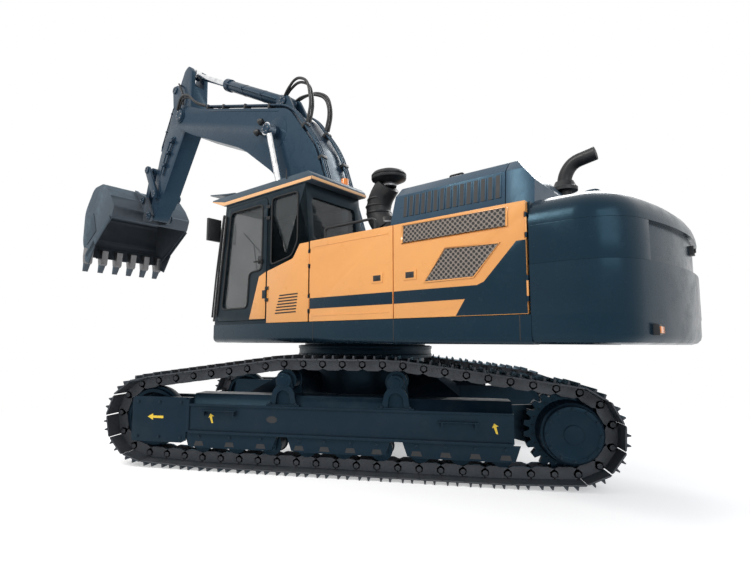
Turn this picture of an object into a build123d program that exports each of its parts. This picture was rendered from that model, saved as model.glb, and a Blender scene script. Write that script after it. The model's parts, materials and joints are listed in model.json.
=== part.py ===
from build123d import *
from math import acos, atan2, cos, degrees, hypot, pi, radians, sin, sqrt
import os

# Crawler excavator of the 50 tonne class, in millimetres.
# Z is up, the undercarriage faces -Y, its left side is +X.
# The origin is on the ground under the swing axis.
# Places are given as forward (u), left (v) and up (z).
# The house and all it carries are drawn facing straight ahead, then swung to the right.
os.makedirs("parts", exist_ok=True)

SWING_ANGLE = 30.5
SEAT_GAP = 0.3
RUNNING_GAP = 5.0
PIN_GAP = 1.0

# Tracks
TRACK_GAUGE = 2740
TUMBLER_DISTANCE = 4470
TUMBLER_HEIGHT = 520
LINK_PITCH = 216
PIN_CIRCLE = 400
PIN_TO_SHOE = 45
PIN_TO_RAIL = 70
SHOE_WIDTH = 600
SHOE_THICKNESS = 14
GROUSER_HEIGHT = 36
GROUSER_FOOT = 20
GROUSER_TIP = 12
GROUSER_SPACING = 92
RAIL_WIDTH = 50
RAIL_GAP = 110
RAIL_CLEARANCE = 8

# Rollers, idlers and sprockets
ROLLER_COUNT = 9
ROLLER_SPACING = 398
ROLLER_RADIUS = 102
ROLLER_FLANGE = 14
CARRIER_SPACING = 1200
CARRIER_SHIFT = 43
CARRIER_HEIGHT = 965
CARRIER_RADIUS = 102
WHEEL_AXLE = 60
TOOTH_COUNT = 23
TOOTH_TIP = 418
TOOTH_ROOT = 362
SPROCKET_WIDTH = 90
DRIVE_FLANGE_RADIUS = 308
HUB_COVER_RADIUS = 270
HUB_COVER_FACE = 252

# Track frames and centre frame
BEAM_OUTER = 250
BEAM_INNER = 200
BEAM_BOTTOM = 405
BEAM_SHELF = 692
BEAM_TOP = 800
BEAM_FRONT = 1705
BEAM_REAR = 1700
YOKE_FRONT = 2382
YOKE_BOTTOM = 285
YOKE_TOP = 757
YOKE_WALL = 60
FRAME_CLEARANCE = 755
FRAME_HUB_RADIUS = 800
FRAME_HUB_TOP = 1190
BEARING_RADIUS = 880
BEARING_TOP = 1345
TOW_EYE_RADIUS = 38
TOW_EYE_WIDTH = 60
TOW_EYE_REACH = 905
TOW_EYE_HEIGHT = 880

# House
HOUSE_HALF_WIDTH = 1490
SKIRT_BOTTOM = 1367
SKIRT_TOP = 1598
SKIRT_WIDTH = 170
DECK_BOTTOM = 1385
DECK_TOP = 1460
PANEL_TOP = 2497
PANEL_THICKNESS = 50
TOP_PLATE = 56
CAB_SEAM = -406
MIDDLE_SEAM = -1550
REAR_SEAM = -2832
SEAM_GAP = 6
TAIL_RADIUS = 3750
TAIL_CORNER = 420
TAIL_CROWN = 190
TAIL_FOOT = 90
HOOD_FRONT = -1400
HOOD_REAR = -2590
HOOD_HALF_WIDTH = HOUSE_HALF_WIDTH - 160
HOOD_TOP = 2950
HOOD_WALL = 40
HINGE_RADIUS = 8
HINGE_OUT = HOUSE_HALF_WIDTH + 5

# Cab
CAB_LEFT = HOUSE_HALF_WIDTH - 10
CAB_RIGHT = 540
CAB_FRONT = 1400
CAB_FRONT_TOP = 1205
CAB_REAR = -398
CAB_REAR_TOP = -330
CAB_WAIST = 2500
CAB_TOP = 3200
CAB_WALL = 55
ROOF_TOP = 3335
ROOF_FRONT = 1520
ROOF_REAR = -440
DOOR_REAR = 335
PILLAR = 65
GLASS = 6
WINDOW_TOP = 3120
MIRROR_FOOT = 1665
MIRROR_HEAD = 3060
MIRROR_HEIGHT = 2870
HANDRAIL_TOP = 2900

# Boom
BOOM_V = -20
BOOM_HALF_WIDTH = 300
BOOM_FOOT = (80, 2030)
BOOM_NOSE = (4684, 6028)
BOOM_PIN = (1640, 4770)
BOOM_CYLINDER_BASE = (705, 1600)
BOOM_CYLINDER_V = 450
BOOM_BARREL_RADIUS = 90
BOOM_ROD_RADIUS = 55
BOOM_BARREL_LENGTH = 2080
CYLINDER_EYE = 105
CYLINDER_EYE_WIDTH = 126
BRACKET_THICKNESS = 45
PIN_RADIUS = 60

# Arm and its cylinder
ARM_HALF_WIDTH = 190
ARM_TOP_PIN = (4640, 7030)
BUCKET_PIN = (5975, 4155)
ARM_CYLINDER_BASE = (1650, 5380)
ARM_BARREL_RADIUS = 100
ARM_ROD_RADIUS = 60
ARM_BARREL_LENGTH = 2110
EAR_GAP = 105

# Bucket, its linkage and cylinder
BUCKET_HALF_WIDTH = 900
BUCKET_PLATE = 32
BUCKET_LINK_PIN = (6285, 4560)
BUCKET_TIP = (7770, 3000)
ROCKER_PIN = (5710, 4580)
ROCKER_LENGTH = 723
LINK_LENGTH = 679
BUCKET_CYLINDER_BASE = (5170, 6800)
BUCKET_BARREL_RADIUS = 85
BUCKET_ROD_RADIUS = 50
BUCKET_BARREL_LENGTH = 1360
TOOTH_ROWS = 6


def side_plane(v):
    """A plane across the machine, with forward and up as its two directions."""
    return Plane(origin=(v, 0, 0), x_dir=(0, -1, 0), z_dir=(-1, 0, 0))


def outline(*corners):
    """A closed face through (a, b) or (a, b, corner radius) points."""
    edges = []
    starts = []
    ends = []
    count = len(corners)
    for i, corner in enumerate(corners):
        here = Vector(corner[0], corner[1])
        before = (Vector(*corners[i - 1][:2]) - here).normalized()
        after = (Vector(*corners[(i + 1) % count][:2]) - here).normalized()
        radius = corner[2] if len(corner) > 2 else 0
        if not radius:
            starts.append(here)
            ends.append(here)
            continue
        half = radians(before.get_angle(after)) / 2
        reach = radius * cos(half) / sin(half)
        first = here + before * reach
        last = here + after * reach
        middle = here + (before + after).normalized() * (radius / sin(half) - radius)
        edges.append(Edge.make_three_point_arc(first, middle, last))
        starts.append(first)
        ends.append(last)
    for i in range(count):
        edges.append(Edge.make_line(ends[i - 1], starts[i]))
    return Face(Wire(edges))


def slab(face, v_low, v_high):
    """Extrudes a side view (forward, up) across the machine."""
    return extrude(side_plane(v_high) * face, v_high - v_low, dir=(-1, 0, 0))


def plate(face, z_low, z_high):
    """Extrudes a top view (forward, left) upwards."""
    plane = Plane(origin=(0, 0, z_low), x_dir=(0, -1, 0), z_dir=(0, 0, 1))
    return extrude(plane * face, z_high - z_low, dir=(0, 0, 1))


def beam(face, u_low, u_high):
    """Extrudes a front view (left, up) along the machine."""
    plane = Plane(origin=(0, -u_low, 0), x_dir=(1, 0, 0), z_dir=(0, -1, 0))
    return extrude(plane * face, u_high - u_low, dir=(0, -1, 0))


def block(u_low, u_high, v_low, v_high, z_low, z_high):
    """A box between its limits."""
    size = (v_high - v_low, u_high - u_low, z_high - z_low)
    middle = ((v_low + v_high) / 2, -(u_low + u_high) / 2, (z_low + z_high) / 2)
    return Pos(*middle) * Box(*size)


def cross_pin(pin, radius, v_low, v_high):
    """A round bar across the machine at (forward, up)."""
    bar = Cylinder(radius, v_high - v_low)
    return Pos((v_low + v_high) / 2, -pin[0], pin[1]) * Rot(0, 90, 0) * bar


def round_bar(start, end, radius):
    """A round bar between two (u, v, z) points."""
    first = Vector(start[1], -start[0], start[2])
    last = Vector(end[1], -end[0], end[2])
    plane = Plane(origin=first, z_dir=last - first)
    return extrude(plane * Circle(radius), (last - first).length)


def upright(u, v, z_low, z_high, radius):
    """A vertical round bar."""
    return Pos(v, -u, (z_low + z_high) / 2) * Cylinder(radius, z_high - z_low)


def turned(profile, u, z, v):
    """Revolves (left, radius) points about a cross axis at (forward, up)."""
    face = Face(Wire.make_polygon([Vector(a, b) for a, b in profile], close=True))
    solid = revolve(face, Axis.X)
    return Pos(v, -u, z) * solid


def mirrored(shape):
    """The same shape on the other side of the machine."""
    return mirror(shape, Plane.YZ)


def at_height(edge, z):
    """True for an edge that lies flat at a height."""
    return all(abs((edge @ share).Z - z) < 1 for share in (0, 0.5, 1))


def between(start, end, share):
    """A point part of the way from start to end."""
    return tuple(a + (b - a) * share for a, b in zip(start, end))


def distance(first, last):
    return hypot(last[0] - first[0], last[1] - first[1])


def beyond(start, end, reach, aside=0):
    """The point at a reach from start towards end, moved aside to its left."""
    length = distance(start, end)
    du = (end[0] - start[0]) / length
    dz = (end[1] - start[1]) / length
    return (start[0] + du * reach - dz * aside, start[1] + dz * reach + du * aside)


# Track chain

PIN_LINE = GROUSER_HEIGHT + SHOE_THICKNESS + PIN_TO_SHOE
ROLLER_HEIGHT = PIN_LINE + PIN_TO_RAIL + RAIL_CLEARANCE + ROLLER_RADIUS
FIRST_ROLLER = ROLLER_SPACING * (ROLLER_COUNT - 1) / 2
TUMBLER_U = TUMBLER_DISTANCE / 2
CARRIERS_U = (CARRIER_SHIFT + CARRIER_SPACING / 2, CARRIER_SHIFT - CARRIER_SPACING / 2)
IDLER_TREAD = sqrt(PIN_CIRCLE**2 - (LINK_PITCH / 2) ** 2) - PIN_TO_RAIL - 2 * PIN_GAP


def belt_circles():
    """The circles that the line of link pins runs round, as (u, z, radius)."""
    roller = ROLLER_RADIUS + RAIL_CLEARANCE + PIN_TO_RAIL
    carrier = CARRIER_RADIUS + RAIL_CLEARANCE + PIN_TO_RAIL
    return [
        (TUMBLER_U, TUMBLER_HEIGHT, PIN_CIRCLE),
        (CARRIERS_U[0], CARRIER_HEIGHT, carrier),
        (CARRIERS_U[1], CARRIER_HEIGHT, carrier),
        (-TUMBLER_U, TUMBLER_HEIGHT, PIN_CIRCLE),
        (-FIRST_ROLLER, ROLLER_HEIGHT, roller),
        (FIRST_ROLLER, ROLLER_HEIGHT, roller),
    ]


def link_pins():
    """Pin places at an even pitch round the whole belt."""
    circles = belt_circles()
    normals = []
    for here, after in zip(circles, circles[1:] + circles[:1]):
        du = after[0] - here[0]
        dz = after[1] - here[1]
        normals.append(atan2(dz, du) - acos((here[2] - after[2]) / hypot(du, dz)))
    runs = []
    for i, (u, z, radius) in enumerate(circles):
        turn = (normals[i] - normals[i - 1]) % (2 * pi)
        runs.append(("arc", u, z, radius, normals[i - 1], turn * radius))
        after = circles[(i + 1) % len(circles)]
        nu = cos(normals[i])
        nz = sin(normals[i])
        start = (u + radius * nu, z + radius * nz)
        end = (after[0] + after[2] * nu, after[1] + after[2] * nz)
        runs.append(("line", start, end, 0, 0, distance(start, end)))
    total = sum(run[5] for run in runs)
    count = round(total / LINK_PITCH)
    pins = []
    for k in range(count):
        along = total * k / count
        for kind, a, b, radius, angle, length in runs:
            if along > length:
                along -= length
                continue
            if kind == "arc":
                here = angle + along / radius
                pins.append((a + radius * cos(here), b + radius * sin(here)))
            else:
                pins.append(between(a, b, along / length))
            break
    return pins


def track(side):
    """One closed track: double-grouser shoes on two link rails."""
    pins = link_pins()
    count = len(pins)
    normals = []
    for k in range(count):
        du = pins[(k + 1) % count][0] - pins[k][0]
        dz = pins[(k + 1) % count][1] - pins[k][1]
        length = hypot(du, dz)
        normals.append((dz / length, -du / length))
    shoe_face = PIN_TO_SHOE + SHOE_THICKNESS
    tip_face = shoe_face + GROUSER_HEIGHT
    outer = []
    seat = []
    rail = []
    for k, (u, z) in enumerate(pins):
        nu, nz = normals[k]
        before = normals[k - 1]
        size = hypot(nu + before[0], nz + before[1])
        mu = (nu + before[0]) / size
        mz = (nz + before[1]) / size
        seat.append((u + PIN_TO_SHOE * mu, z + PIN_TO_SHOE * mz))
        rail.append((u - PIN_TO_RAIL * mu, z - PIN_TO_RAIL * mz))
        for place in (-GROUSER_SPACING / 2, GROUSER_SPACING / 2):
            middle = LINK_PITCH / 2 + place
            for along, out in (
                (middle - GROUSER_FOOT / 2, shoe_face),
                (middle - GROUSER_TIP / 2, tip_face),
                (middle + GROUSER_TIP / 2, tip_face),
                (middle + GROUSER_FOOT / 2, shoe_face),
            ):
                outer.append((u - nz * along + nu * out, z + nu * along + nz * out))
    v = side * TRACK_GAUGE / 2
    shoes = outline(*outer) - outline(*seat)
    rails = outline(*seat) - outline(*rail)
    chain = slab(shoes, v - SHOE_WIDTH / 2, v + SHOE_WIDTH / 2)
    for place in (-1, 1):
        middle = v + place * (RAIL_GAP + RAIL_WIDTH) / 2
        chain = chain + slab(rails, middle - RAIL_WIDTH / 2, middle + RAIL_WIDTH / 2)
    return chain


def idler(side):
    """Front guide wheel with its axle, seated in the yoke."""
    flange = IDLER_TREAD + 26
    flange_half = RAIL_GAP / 2 - RUNNING_GAP
    tread_half = RAIL_GAP / 2 + RAIL_WIDTH
    wheel = turned(
        [
            (-tread_half - 30, 0),
            (-tread_half - 30, 110),
            (-40, 150),
            (-40, IDLER_TREAD - 60),
            (-tread_half, IDLER_TREAD - 40),
            (-tread_half, IDLER_TREAD),
            (-flange_half, IDLER_TREAD),
            (-flange_half, flange),
            (flange_half, flange),
            (flange_half, IDLER_TREAD),
            (tread_half, IDLER_TREAD),
            (tread_half, IDLER_TREAD - 40),
            (40, IDLER_TREAD - 60),
            (40, 150),
            (tread_half + 30, 110),
            (tread_half + 30, 0),
        ],
        TUMBLER_U,
        TUMBLER_HEIGHT,
        side * TRACK_GAUGE / 2,
    )
    reach = BEAM_INNER - YOKE_WALL - SEAT_GAP
    axle = cross_pin(
        (TUMBLER_U, TUMBLER_HEIGHT),
        WHEEL_AXLE,
        side * TRACK_GAUGE / 2 - reach,
        side * TRACK_GAUGE / 2 + reach,
    )
    return wheel + axle


def tooth_outline():
    """The toothed outline of the drive sprocket."""
    corners = []
    step = 2 * pi / TOOTH_COUNT
    for k in range(TOOTH_COUNT):
        for share, radius in ((0.0, TOOTH_ROOT), (0.24, TOOTH_ROOT), (0.42, TOOTH_TIP), (0.82, TOOTH_TIP)):
            angle = step * (k + share)
            corners.append((-TUMBLER_U + radius * cos(angle), TUMBLER_HEIGHT + radius * sin(angle)))
    return outline(*corners)


def sprocket(side):
    """Toothed rim on its final drive, with the plain hub cover outside."""
    v = side * TRACK_GAUGE / 2
    rim = slab(tooth_outline(), v - SPROCKET_WIDTH / 2, v + SPROCKET_WIDTH / 2)
    half = SPROCKET_WIDTH / 2
    profile = [
        (-BEAM_INNER + YOKE_WALL + SEAT_GAP, 0),
        (-BEAM_INNER + YOKE_WALL + SEAT_GAP, 250),
        (-half, 300),
        (half, 300),
        (half, DRIVE_FLANGE_RADIUS),
        (half + 40, DRIVE_FLANGE_RADIUS),
        (half + 70, HUB_COVER_RADIUS + 25),
        (HUB_COVER_FACE - 40, HUB_COVER_RADIUS + 20),
        (HUB_COVER_FACE - 30, HUB_COVER_RADIUS),
        (HUB_COVER_FACE, HUB_COVER_RADIUS - 12),
        (HUB_COVER_FACE, 0),
    ]
    drive = turned([(side * a, r) for a, r in profile], -TUMBLER_U, TUMBLER_HEIGHT, v)
    return rim + drive


def roller(u, z, v, radius, half_width):
    """One flanged roller and its shaft ends."""
    flange = radius + ROLLER_FLANGE
    tread = RAIL_GAP / 2 + RAIL_WIDTH + RUNNING_GAP
    return turned(
        [
            (-half_width, 0),
            (-half_width, 45),
            (-tread - 14, 45),
            (-tread - 14, flange),
            (-tread, flange),
            (-tread, radius),
            (tread, radius),
            (tread, flange),
            (tread + 14, flange),
            (tread + 14, 45),
            (half_width, 45),
            (half_width, 0),
        ],
        u,
        z,
        v,
    )


ROLLER_BRACKET_IN = 150
ROLLER_BRACKET_OUT = 190


def rollers(side):
    """Nine lower rollers and two carrier rollers."""
    v = side * TRACK_GAUGE / 2
    solids = []
    for k in range(ROLLER_COUNT):
        u = FIRST_ROLLER - k * ROLLER_SPACING
        solids.append(roller(u, ROLLER_HEIGHT, v, ROLLER_RADIUS, ROLLER_BRACKET_IN - SEAT_GAP))
    for u in CARRIERS_U:
        solids.append(roller(u, CARRIER_HEIGHT, v, CARRIER_RADIUS, ROLLER_BRACKET_IN - SEAT_GAP))
    return Compound(solids)


def track_frame(side):
    """Box beam with its idler yoke, roller brackets, carrier stands and drive plate."""
    top_in = BEAM_INNER - 70
    section = outline(
        (-BEAM_INNER, BEAM_BOTTOM),
        (BEAM_OUTER, BEAM_BOTTOM),
        (BEAM_OUTER, BEAM_SHELF),
        (BEAM_OUTER - 60, BEAM_SHELF),
        (top_in - 20, BEAM_TOP),
        (-top_in, BEAM_TOP),
        (-BEAM_INNER, BEAM_SHELF + 40),
    )
    frame = beam(section, -BEAM_REAR, BEAM_FRONT)
    yoke = outline(
        (BEAM_FRONT - 5, YOKE_BOTTOM + 60),
        (BEAM_FRONT + 120, YOKE_BOTTOM),
        (YOKE_FRONT, YOKE_BOTTOM, 60),
        (YOKE_FRONT, YOKE_TOP, 60),
        (BEAM_FRONT - 5, YOKE_TOP),
    )
    frame = frame + slab(yoke, -BEAM_INNER, -BEAM_INNER + YOKE_WALL)
    frame = frame + slab(yoke, BEAM_INNER - YOKE_WALL, BEAM_OUTER - 10)
    drive_plate = outline(
        (-BEAM_REAR + 5, BEAM_BOTTOM),
        (-BEAM_REAR + 5, BEAM_SHELF + 40),
        (-TUMBLER_U, TUMBLER_HEIGHT + 240, 150),
        (-TUMBLER_U - 240, TUMBLER_HEIGHT, 150),
        (-TUMBLER_U, TUMBLER_HEIGHT - 240, 150),
    )
    frame = frame + slab(drive_plate, -BEAM_INNER, -BEAM_INNER + YOKE_WALL)
    for k in range(ROLLER_COUNT):
        u = FIRST_ROLLER - k * ROLLER_SPACING
        saddle = outline(
            (u - 85, BEAM_BOTTOM + 5),
            (u - 70, ROLLER_HEIGHT - 60, 30),
            (u + 70, ROLLER_HEIGHT - 60, 30),
            (u + 85, BEAM_BOTTOM + 5),
        )
        for v_low, v_high in ((ROLLER_BRACKET_IN, ROLLER_BRACKET_OUT), (-ROLLER_BRACKET_OUT, -ROLLER_BRACKET_IN)):
            frame = frame + slab(saddle, v_low, v_high)
    for u in CARRIERS_U:
        stand = outline(
            (u - 130, BEAM_SHELF - 5),
            (u - 110, BEAM_SHELF + 90, 40),
            (u - 75, CARRIER_HEIGHT + 75, 70),
            (u + 75, CARRIER_HEIGHT + 75, 70),
            (u + 110, BEAM_SHELF + 90, 40),
            (u + 130, BEAM_SHELF - 5),
        )
        frame = frame + slab(stand, ROLLER_BRACKET_IN, ROLLER_BRACKET_OUT)
        frame = frame + slab(stand, -ROLLER_BRACKET_OUT, -ROLLER_BRACKET_IN)
    if side < 0:
        frame = mirrored(frame)
    return Pos(side * TRACK_GAUGE / 2, 0, 0) * frame


LEG_FOOT_U = 1000
LEG_ROOT_U = 560


def frame_hub(grow=0.0):
    """The round hub between the tracks, grown all round."""
    height = FRAME_HUB_TOP - FRAME_CLEARANCE + 2 * grow
    hub = Cylinder(FRAME_HUB_RADIUS + grow, height, align=(Align.CENTER, Align.CENTER, Align.MIN))
    return Pos(0, 0, FRAME_CLEARANCE - grow) * hub


def centre_frame():
    """Round hub with a flat tow eye at each end."""
    frame = frame_hub()
    for end in (-1, 1):
        eye = outline(
            (end * (FRAME_HUB_RADIUS - 60), -110),
            (end * (TOW_EYE_REACH + 75), -75, 60),
            (end * (TOW_EYE_REACH + 75), 75, 60),
            (end * (FRAME_HUB_RADIUS - 60), 110),
        )
        low = TOW_EYE_HEIGHT - TOW_EYE_WIDTH / 2
        high = TOW_EYE_HEIGHT + TOW_EYE_WIDTH / 2
        frame = frame + plate(eye, low, high)
        frame = frame - upright(end * TOW_EYE_REACH, 0, low - 10, high + 10, TOW_EYE_RADIUS)
    return frame


def frame_legs():
    """Four flared legs from the hub down to the track frames."""
    beam_face = TRACK_GAUGE / 2 - BEAM_INNER - SEAT_GAP
    legs = []
    for side in (-1, 1):
        for end in (-1, 1):
            sections = []
            for x, u, low, high, length in (
                (side * 420, end * LEG_ROOT_U, FRAME_CLEARANCE + 5, FRAME_HUB_TOP - 60, 380),
                (side * beam_face, end * LEG_FOOT_U, BEAM_BOTTOM + 75, BEAM_SHELF + 35, 620),
            ):
                plane = Plane(origin=(x, -u, (low + high) / 2), x_dir=(0, 1, 0), z_dir=(1, 0, 0))
                sections.append(plane * Rectangle(length, high - low))
            leg = loft(sections) - frame_hub(SEAT_GAP)
            legs.append(max(leg.solids(), key=lambda solid: solid.volume))
    return Compound(legs)


def swing_bearing():
    """Fixed ring under the house."""
    height = BEARING_TOP - FRAME_HUB_TOP
    ring = Cylinder(BEARING_RADIUS, height, align=(Align.CENTER, Align.CENTER, Align.MIN))
    bore = Cylinder(BEARING_RADIUS - 230, height, align=(Align.CENTER, Align.CENTER, Align.MIN))
    return Pos(0, 0, FRAME_HUB_TOP) * (ring - bore)


# House structure

TANK_LEFT = -680
TANK_RIGHT = 20 - HOUSE_HALF_WIDTH
STORAGE_FRONT = 1850
FUEL_FRONT = 940
FUEL_REAR = -100
BAY_SIDE = HOUSE_HALF_WIDTH - PANEL_THICKNESS - RUNNING_GAP
DECK_FRONT = 960
CW_FRONT = REAR_SEAM - SEAM_GAP


def boom_bracket(v_low, v_high):
    """One upright plate that holds the boom foot and the cylinder base."""
    face = outline(
        (-420, DECK_TOP + SEAT_GAP),
        (BOOM_FOOT[0] - 190, BOOM_FOOT[1] + 60, 120),
        (BOOM_FOOT[0] + 20, BOOM_FOOT[1] + 220, 150),
        (BOOM_FOOT[0] + 240, BOOM_FOOT[1] + 20, 100),
        (BOOM_CYLINDER_BASE[0] - 60, BOOM_CYLINDER_BASE[1] + 130, 60),
        (BOOM_CYLINDER_BASE[0] + 115, BOOM_CYLINDER_BASE[1] + 110, 90),
        (BOOM_CYLINDER_BASE[0] + 170, DECK_TOP + SEAT_GAP),
    )
    plate_part = slab(face, v_low, v_high)
    return plate_part - cross_pin(BOOM_FOOT, PIN_RADIUS + 20 + PIN_GAP, v_low - 10, v_high + 10)


def revolving_frame():
    """Deck plate, rounded side skirts, boom brackets and the ring on the bearing."""
    deck = plate(
        outline(
            (CW_FRONT + SEAT_GAP, -HOUSE_HALF_WIDTH + SKIRT_WIDTH - 10),
            (STORAGE_FRONT, -HOUSE_HALF_WIDTH + SKIRT_WIDTH - 10),
            (STORAGE_FRONT, TANK_LEFT),
            (DECK_FRONT, TANK_LEFT + 60),
            (DECK_FRONT, CAB_RIGHT - 20),
            (CAB_FRONT - 40, CAB_RIGHT),
            (CAB_FRONT - 40, HOUSE_HALF_WIDTH - SKIRT_WIDTH + 10),
            (CW_FRONT + SEAT_GAP, HOUSE_HALF_WIDTH - SKIRT_WIDTH + 10),
        ),
        DECK_BOTTOM,
        DECK_TOP,
    )
    frame = deck
    section = [
        (HOUSE_HALF_WIDTH - SKIRT_WIDTH, SKIRT_BOTTOM, 20),
        (HOUSE_HALF_WIDTH, SKIRT_BOTTOM, 70),
        (HOUSE_HALF_WIDTH, SKIRT_TOP),
        (HOUSE_HALF_WIDTH - SKIRT_WIDTH, SKIRT_TOP),
    ]
    frame = frame + beam(outline(*section), CW_FRONT + SEAT_GAP, CAB_FRONT)
    right = [(-corner[0],) + tuple(corner[1:]) for corner in section]
    frame = frame + beam(outline(*right), CW_FRONT + SEAT_GAP, STORAGE_FRONT)
    front_left = outline(
        (CAB_FRONT - 120, SKIRT_BOTTOM, 20),
        (CAB_FRONT, SKIRT_BOTTOM, 70),
        (CAB_FRONT, SKIRT_TOP),
        (CAB_FRONT - 120, SKIRT_TOP),
    )
    frame = frame + slab(front_left, CAB_RIGHT, HOUSE_HALF_WIDTH - SKIRT_WIDTH + 5)
    front_right = outline(
        (STORAGE_FRONT - 120, SKIRT_BOTTOM, 20),
        (STORAGE_FRONT, SKIRT_BOTTOM, 70),
        (STORAGE_FRONT, SKIRT_TOP),
        (STORAGE_FRONT - 120, SKIRT_TOP),
    )
    frame = frame + slab(front_right, -HOUSE_HALF_WIDTH + SKIRT_WIDTH - 5, TANK_LEFT)
    for v in (CAB_RIGHT + 40, TANK_LEFT - 40):
        frame = frame + block(CW_FRONT + SEAT_GAP, DECK_FRONT - 20, v - 30, v + 30, DECK_TOP - 5, SKIRT_TOP)
    for u in (-1500, -2700, -480):
        frame = frame + block(u - 30, u + 30, -HOUSE_HALF_WIDTH + 60, HOUSE_HALF_WIDTH - 60, DECK_TOP - 5, SKIRT_TOP)
    ring = Cylinder(BEARING_RADIUS - 60, DECK_BOTTOM + 5 - BEARING_TOP - SEAT_GAP, align=(Align.CENTER, Align.CENTER, Align.MIN))
    frame = frame + Pos(0, 0, BEARING_TOP + SEAT_GAP) * ring
    return frame


def boom_brackets():
    """The plates on the deck that carry the boom foot and the boom cylinders."""
    plates = []
    for place in (-1, 1):
        inner = BOOM_V + place * (BOOM_HALF_WIDTH + RUNNING_GAP)
        outer = inner + place * BRACKET_THICKNESS
        ear_in = BOOM_V + place * (BOOM_CYLINDER_V + CYLINDER_EYE_WIDTH / 2 + RUNNING_GAP)
        ear_out = ear_in + place * 35
        ear = outline(
            (BOOM_CYLINDER_BASE[0] - 150, DECK_TOP + SEAT_GAP),
            (BOOM_CYLINDER_BASE[0] - 100, BOOM_CYLINDER_BASE[1] + 95, 80),
            (BOOM_CYLINDER_BASE[0] + 100, BOOM_CYLINDER_BASE[1] + 95, 80),
            (BOOM_CYLINDER_BASE[0] + 150, DECK_TOP + SEAT_GAP),
        )
        bore = PIN_RADIUS + PIN_GAP
        far = BOOM_V + place * (BOOM_CYLINDER_V + 140)
        hole = cross_pin(BOOM_CYLINDER_BASE, bore, min(inner - place * 20, far), max(inner - place * 20, far))
        plates.append(boom_bracket(min(inner, outer), max(inner, outer)) - hole)
        plates.append(slab(ear, min(ear_in, ear_out), max(ear_in, ear_out)) - hole)
    return Compound([solid for piece in plates for solid in piece.solids()])


def knuckle(u, v, z, length=120):
    """The middle barrel of a side door hinge."""
    return upright(u, v, z - length / 2, z + length / 2, HINGE_RADIUS)


HINGE_HEIGHTS = (1800, 2300)
FRONT_HINGE_U = CAB_SEAM - 3
REAR_HINGE_U = REAR_SEAM + 10


def hinge_leaves(u, side, toward):
    """Fixed hinge barrels above and below each door barrel, on a leaf to the frame."""
    leaves = None
    for z in HINGE_HEIGHTS:
        for place in (-1, 1):
            low = z + place * (60 + SEAT_GAP + 20) - 20
            v = side * HINGE_OUT
            piece = upright(u, v, low, low + 40, HINGE_RADIUS)
            u_near = u + toward * 2
            u_far = u + toward * 7
            leaf = block(
                min(u_near, u_far), max(u_near, u_far), min(side * (BAY_SIDE - 8), v), max(side * (BAY_SIDE - 8), v), low, low + 40
            )
            piece = piece + leaf
            leaves = piece if leaves is None else leaves + piece
    return leaves


def machinery_frame():
    """Bulkheads, posts and the top deck of the machinery bay."""
    low = SKIRT_TOP
    high = PANEL_TOP
    deck_low = high - TOP_PLATE
    bay = BAY_SIDE
    top = plate(
        outline(
            (HOOD_FRONT + 20, bay),
            (CAB_SEAM - 14, bay),
            (CAB_SEAM - 14, TANK_LEFT + 25),
            (HOOD_FRONT + 20, TANK_LEFT + 25),
        ),
        deck_low,
        high,
    )
    ring = plate(
        outline(
            (CW_FRONT + SEAT_GAP, -bay),
            (HOOD_FRONT + 20 + SEAT_GAP, -bay),
            (HOOD_FRONT + 20 + SEAT_GAP, bay),
            (CW_FRONT + SEAT_GAP, bay),
        ),
        deck_low,
        high,
    )
    hole = block(HOOD_REAR + 60, HOOD_FRONT - 60, -HOOD_HALF_WIDTH + 90, HOOD_HALF_WIDTH - 90, deck_low - 10, high + 10)
    frame = top + (ring - hole)
    frame = frame + block(CAB_SEAM - 60, CAB_SEAM - 20, TANK_LEFT + 25, bay, low, deck_low + 5)
    frame = frame + block(MIDDLE_SEAM - 20, MIDDLE_SEAM + 20, -bay, bay, low, deck_low + 5)
    frame = frame - block(MIDDLE_SEAM - 30, MIDDLE_SEAM + 30, -1000, 900, low + 150, deck_low - 100)
    frame = frame + block(CW_FRONT + SEAT_GAP, CW_FRONT + 40, -bay, bay, low, deck_low + 5)
    frame = frame + hinge_leaves(FRONT_HINGE_U, 1, 1)
    frame = frame + block(CAB_SEAM - 30, CAB_SEAM + 4, bay - 30, bay, low, deck_low + 5)
    frame = frame + hinge_leaves(REAR_HINGE_U, 1, -1)
    frame = frame + hinge_leaves(REAR_HINGE_U, -1, -1)
    return frame


def side_door(u_hinge, u_edge, u_free, side):
    """A side door panel with its hinge barrels."""
    z_low = SKIRT_TOP + RUNNING_GAP
    z_high = PANEL_TOP
    face = outline((u_edge, z_low), (u_free, z_low), (u_free, z_high), (u_edge, z_high))
    inner = side * (HOUSE_HALF_WIDTH - PANEL_THICKNESS)
    outer = side * HOUSE_HALF_WIDTH
    door = slab(face, min(inner, outer), max(inner, outer))
    for z in HINGE_HEIGHTS:
        door = door - block(
            min(u_hinge, u_edge) - 12,
            max(u_hinge, u_edge) + 12,
            min(side * (HINGE_OUT - 14), outer),
            max(side * (HINGE_OUT - 14), outer + side),
            z - 110,
            z + 110,
        )
        barrel = knuckle(u_hinge, side * HINGE_OUT, z)
        toward = 1 if u_free > u_edge else -1
        leaf = block(
            min(u_hinge, u_edge + toward * 20),
            max(u_hinge, u_edge + toward * 20),
            min(side * (HINGE_OUT - 16), side * (HINGE_OUT - 4)),
            max(side * (HINGE_OUT - 16), side * (HINGE_OUT - 4)),
            z - 60,
            z + 60,
        )
        door = door + (barrel + leaf)
    return door


def left_front_door():
    return side_door(FRONT_HINGE_U, CAB_SEAM - 14, MIDDLE_SEAM + SEAM_GAP, 1)


def left_rear_door():
    return side_door(REAR_HINGE_U, REAR_SEAM + 14, MIDDLE_SEAM - SEAM_GAP, 1)


def right_rear_door():
    return side_door(REAR_HINGE_U, REAR_SEAM + 14, MIDDLE_SEAM - SEAM_GAP, -1)


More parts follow.
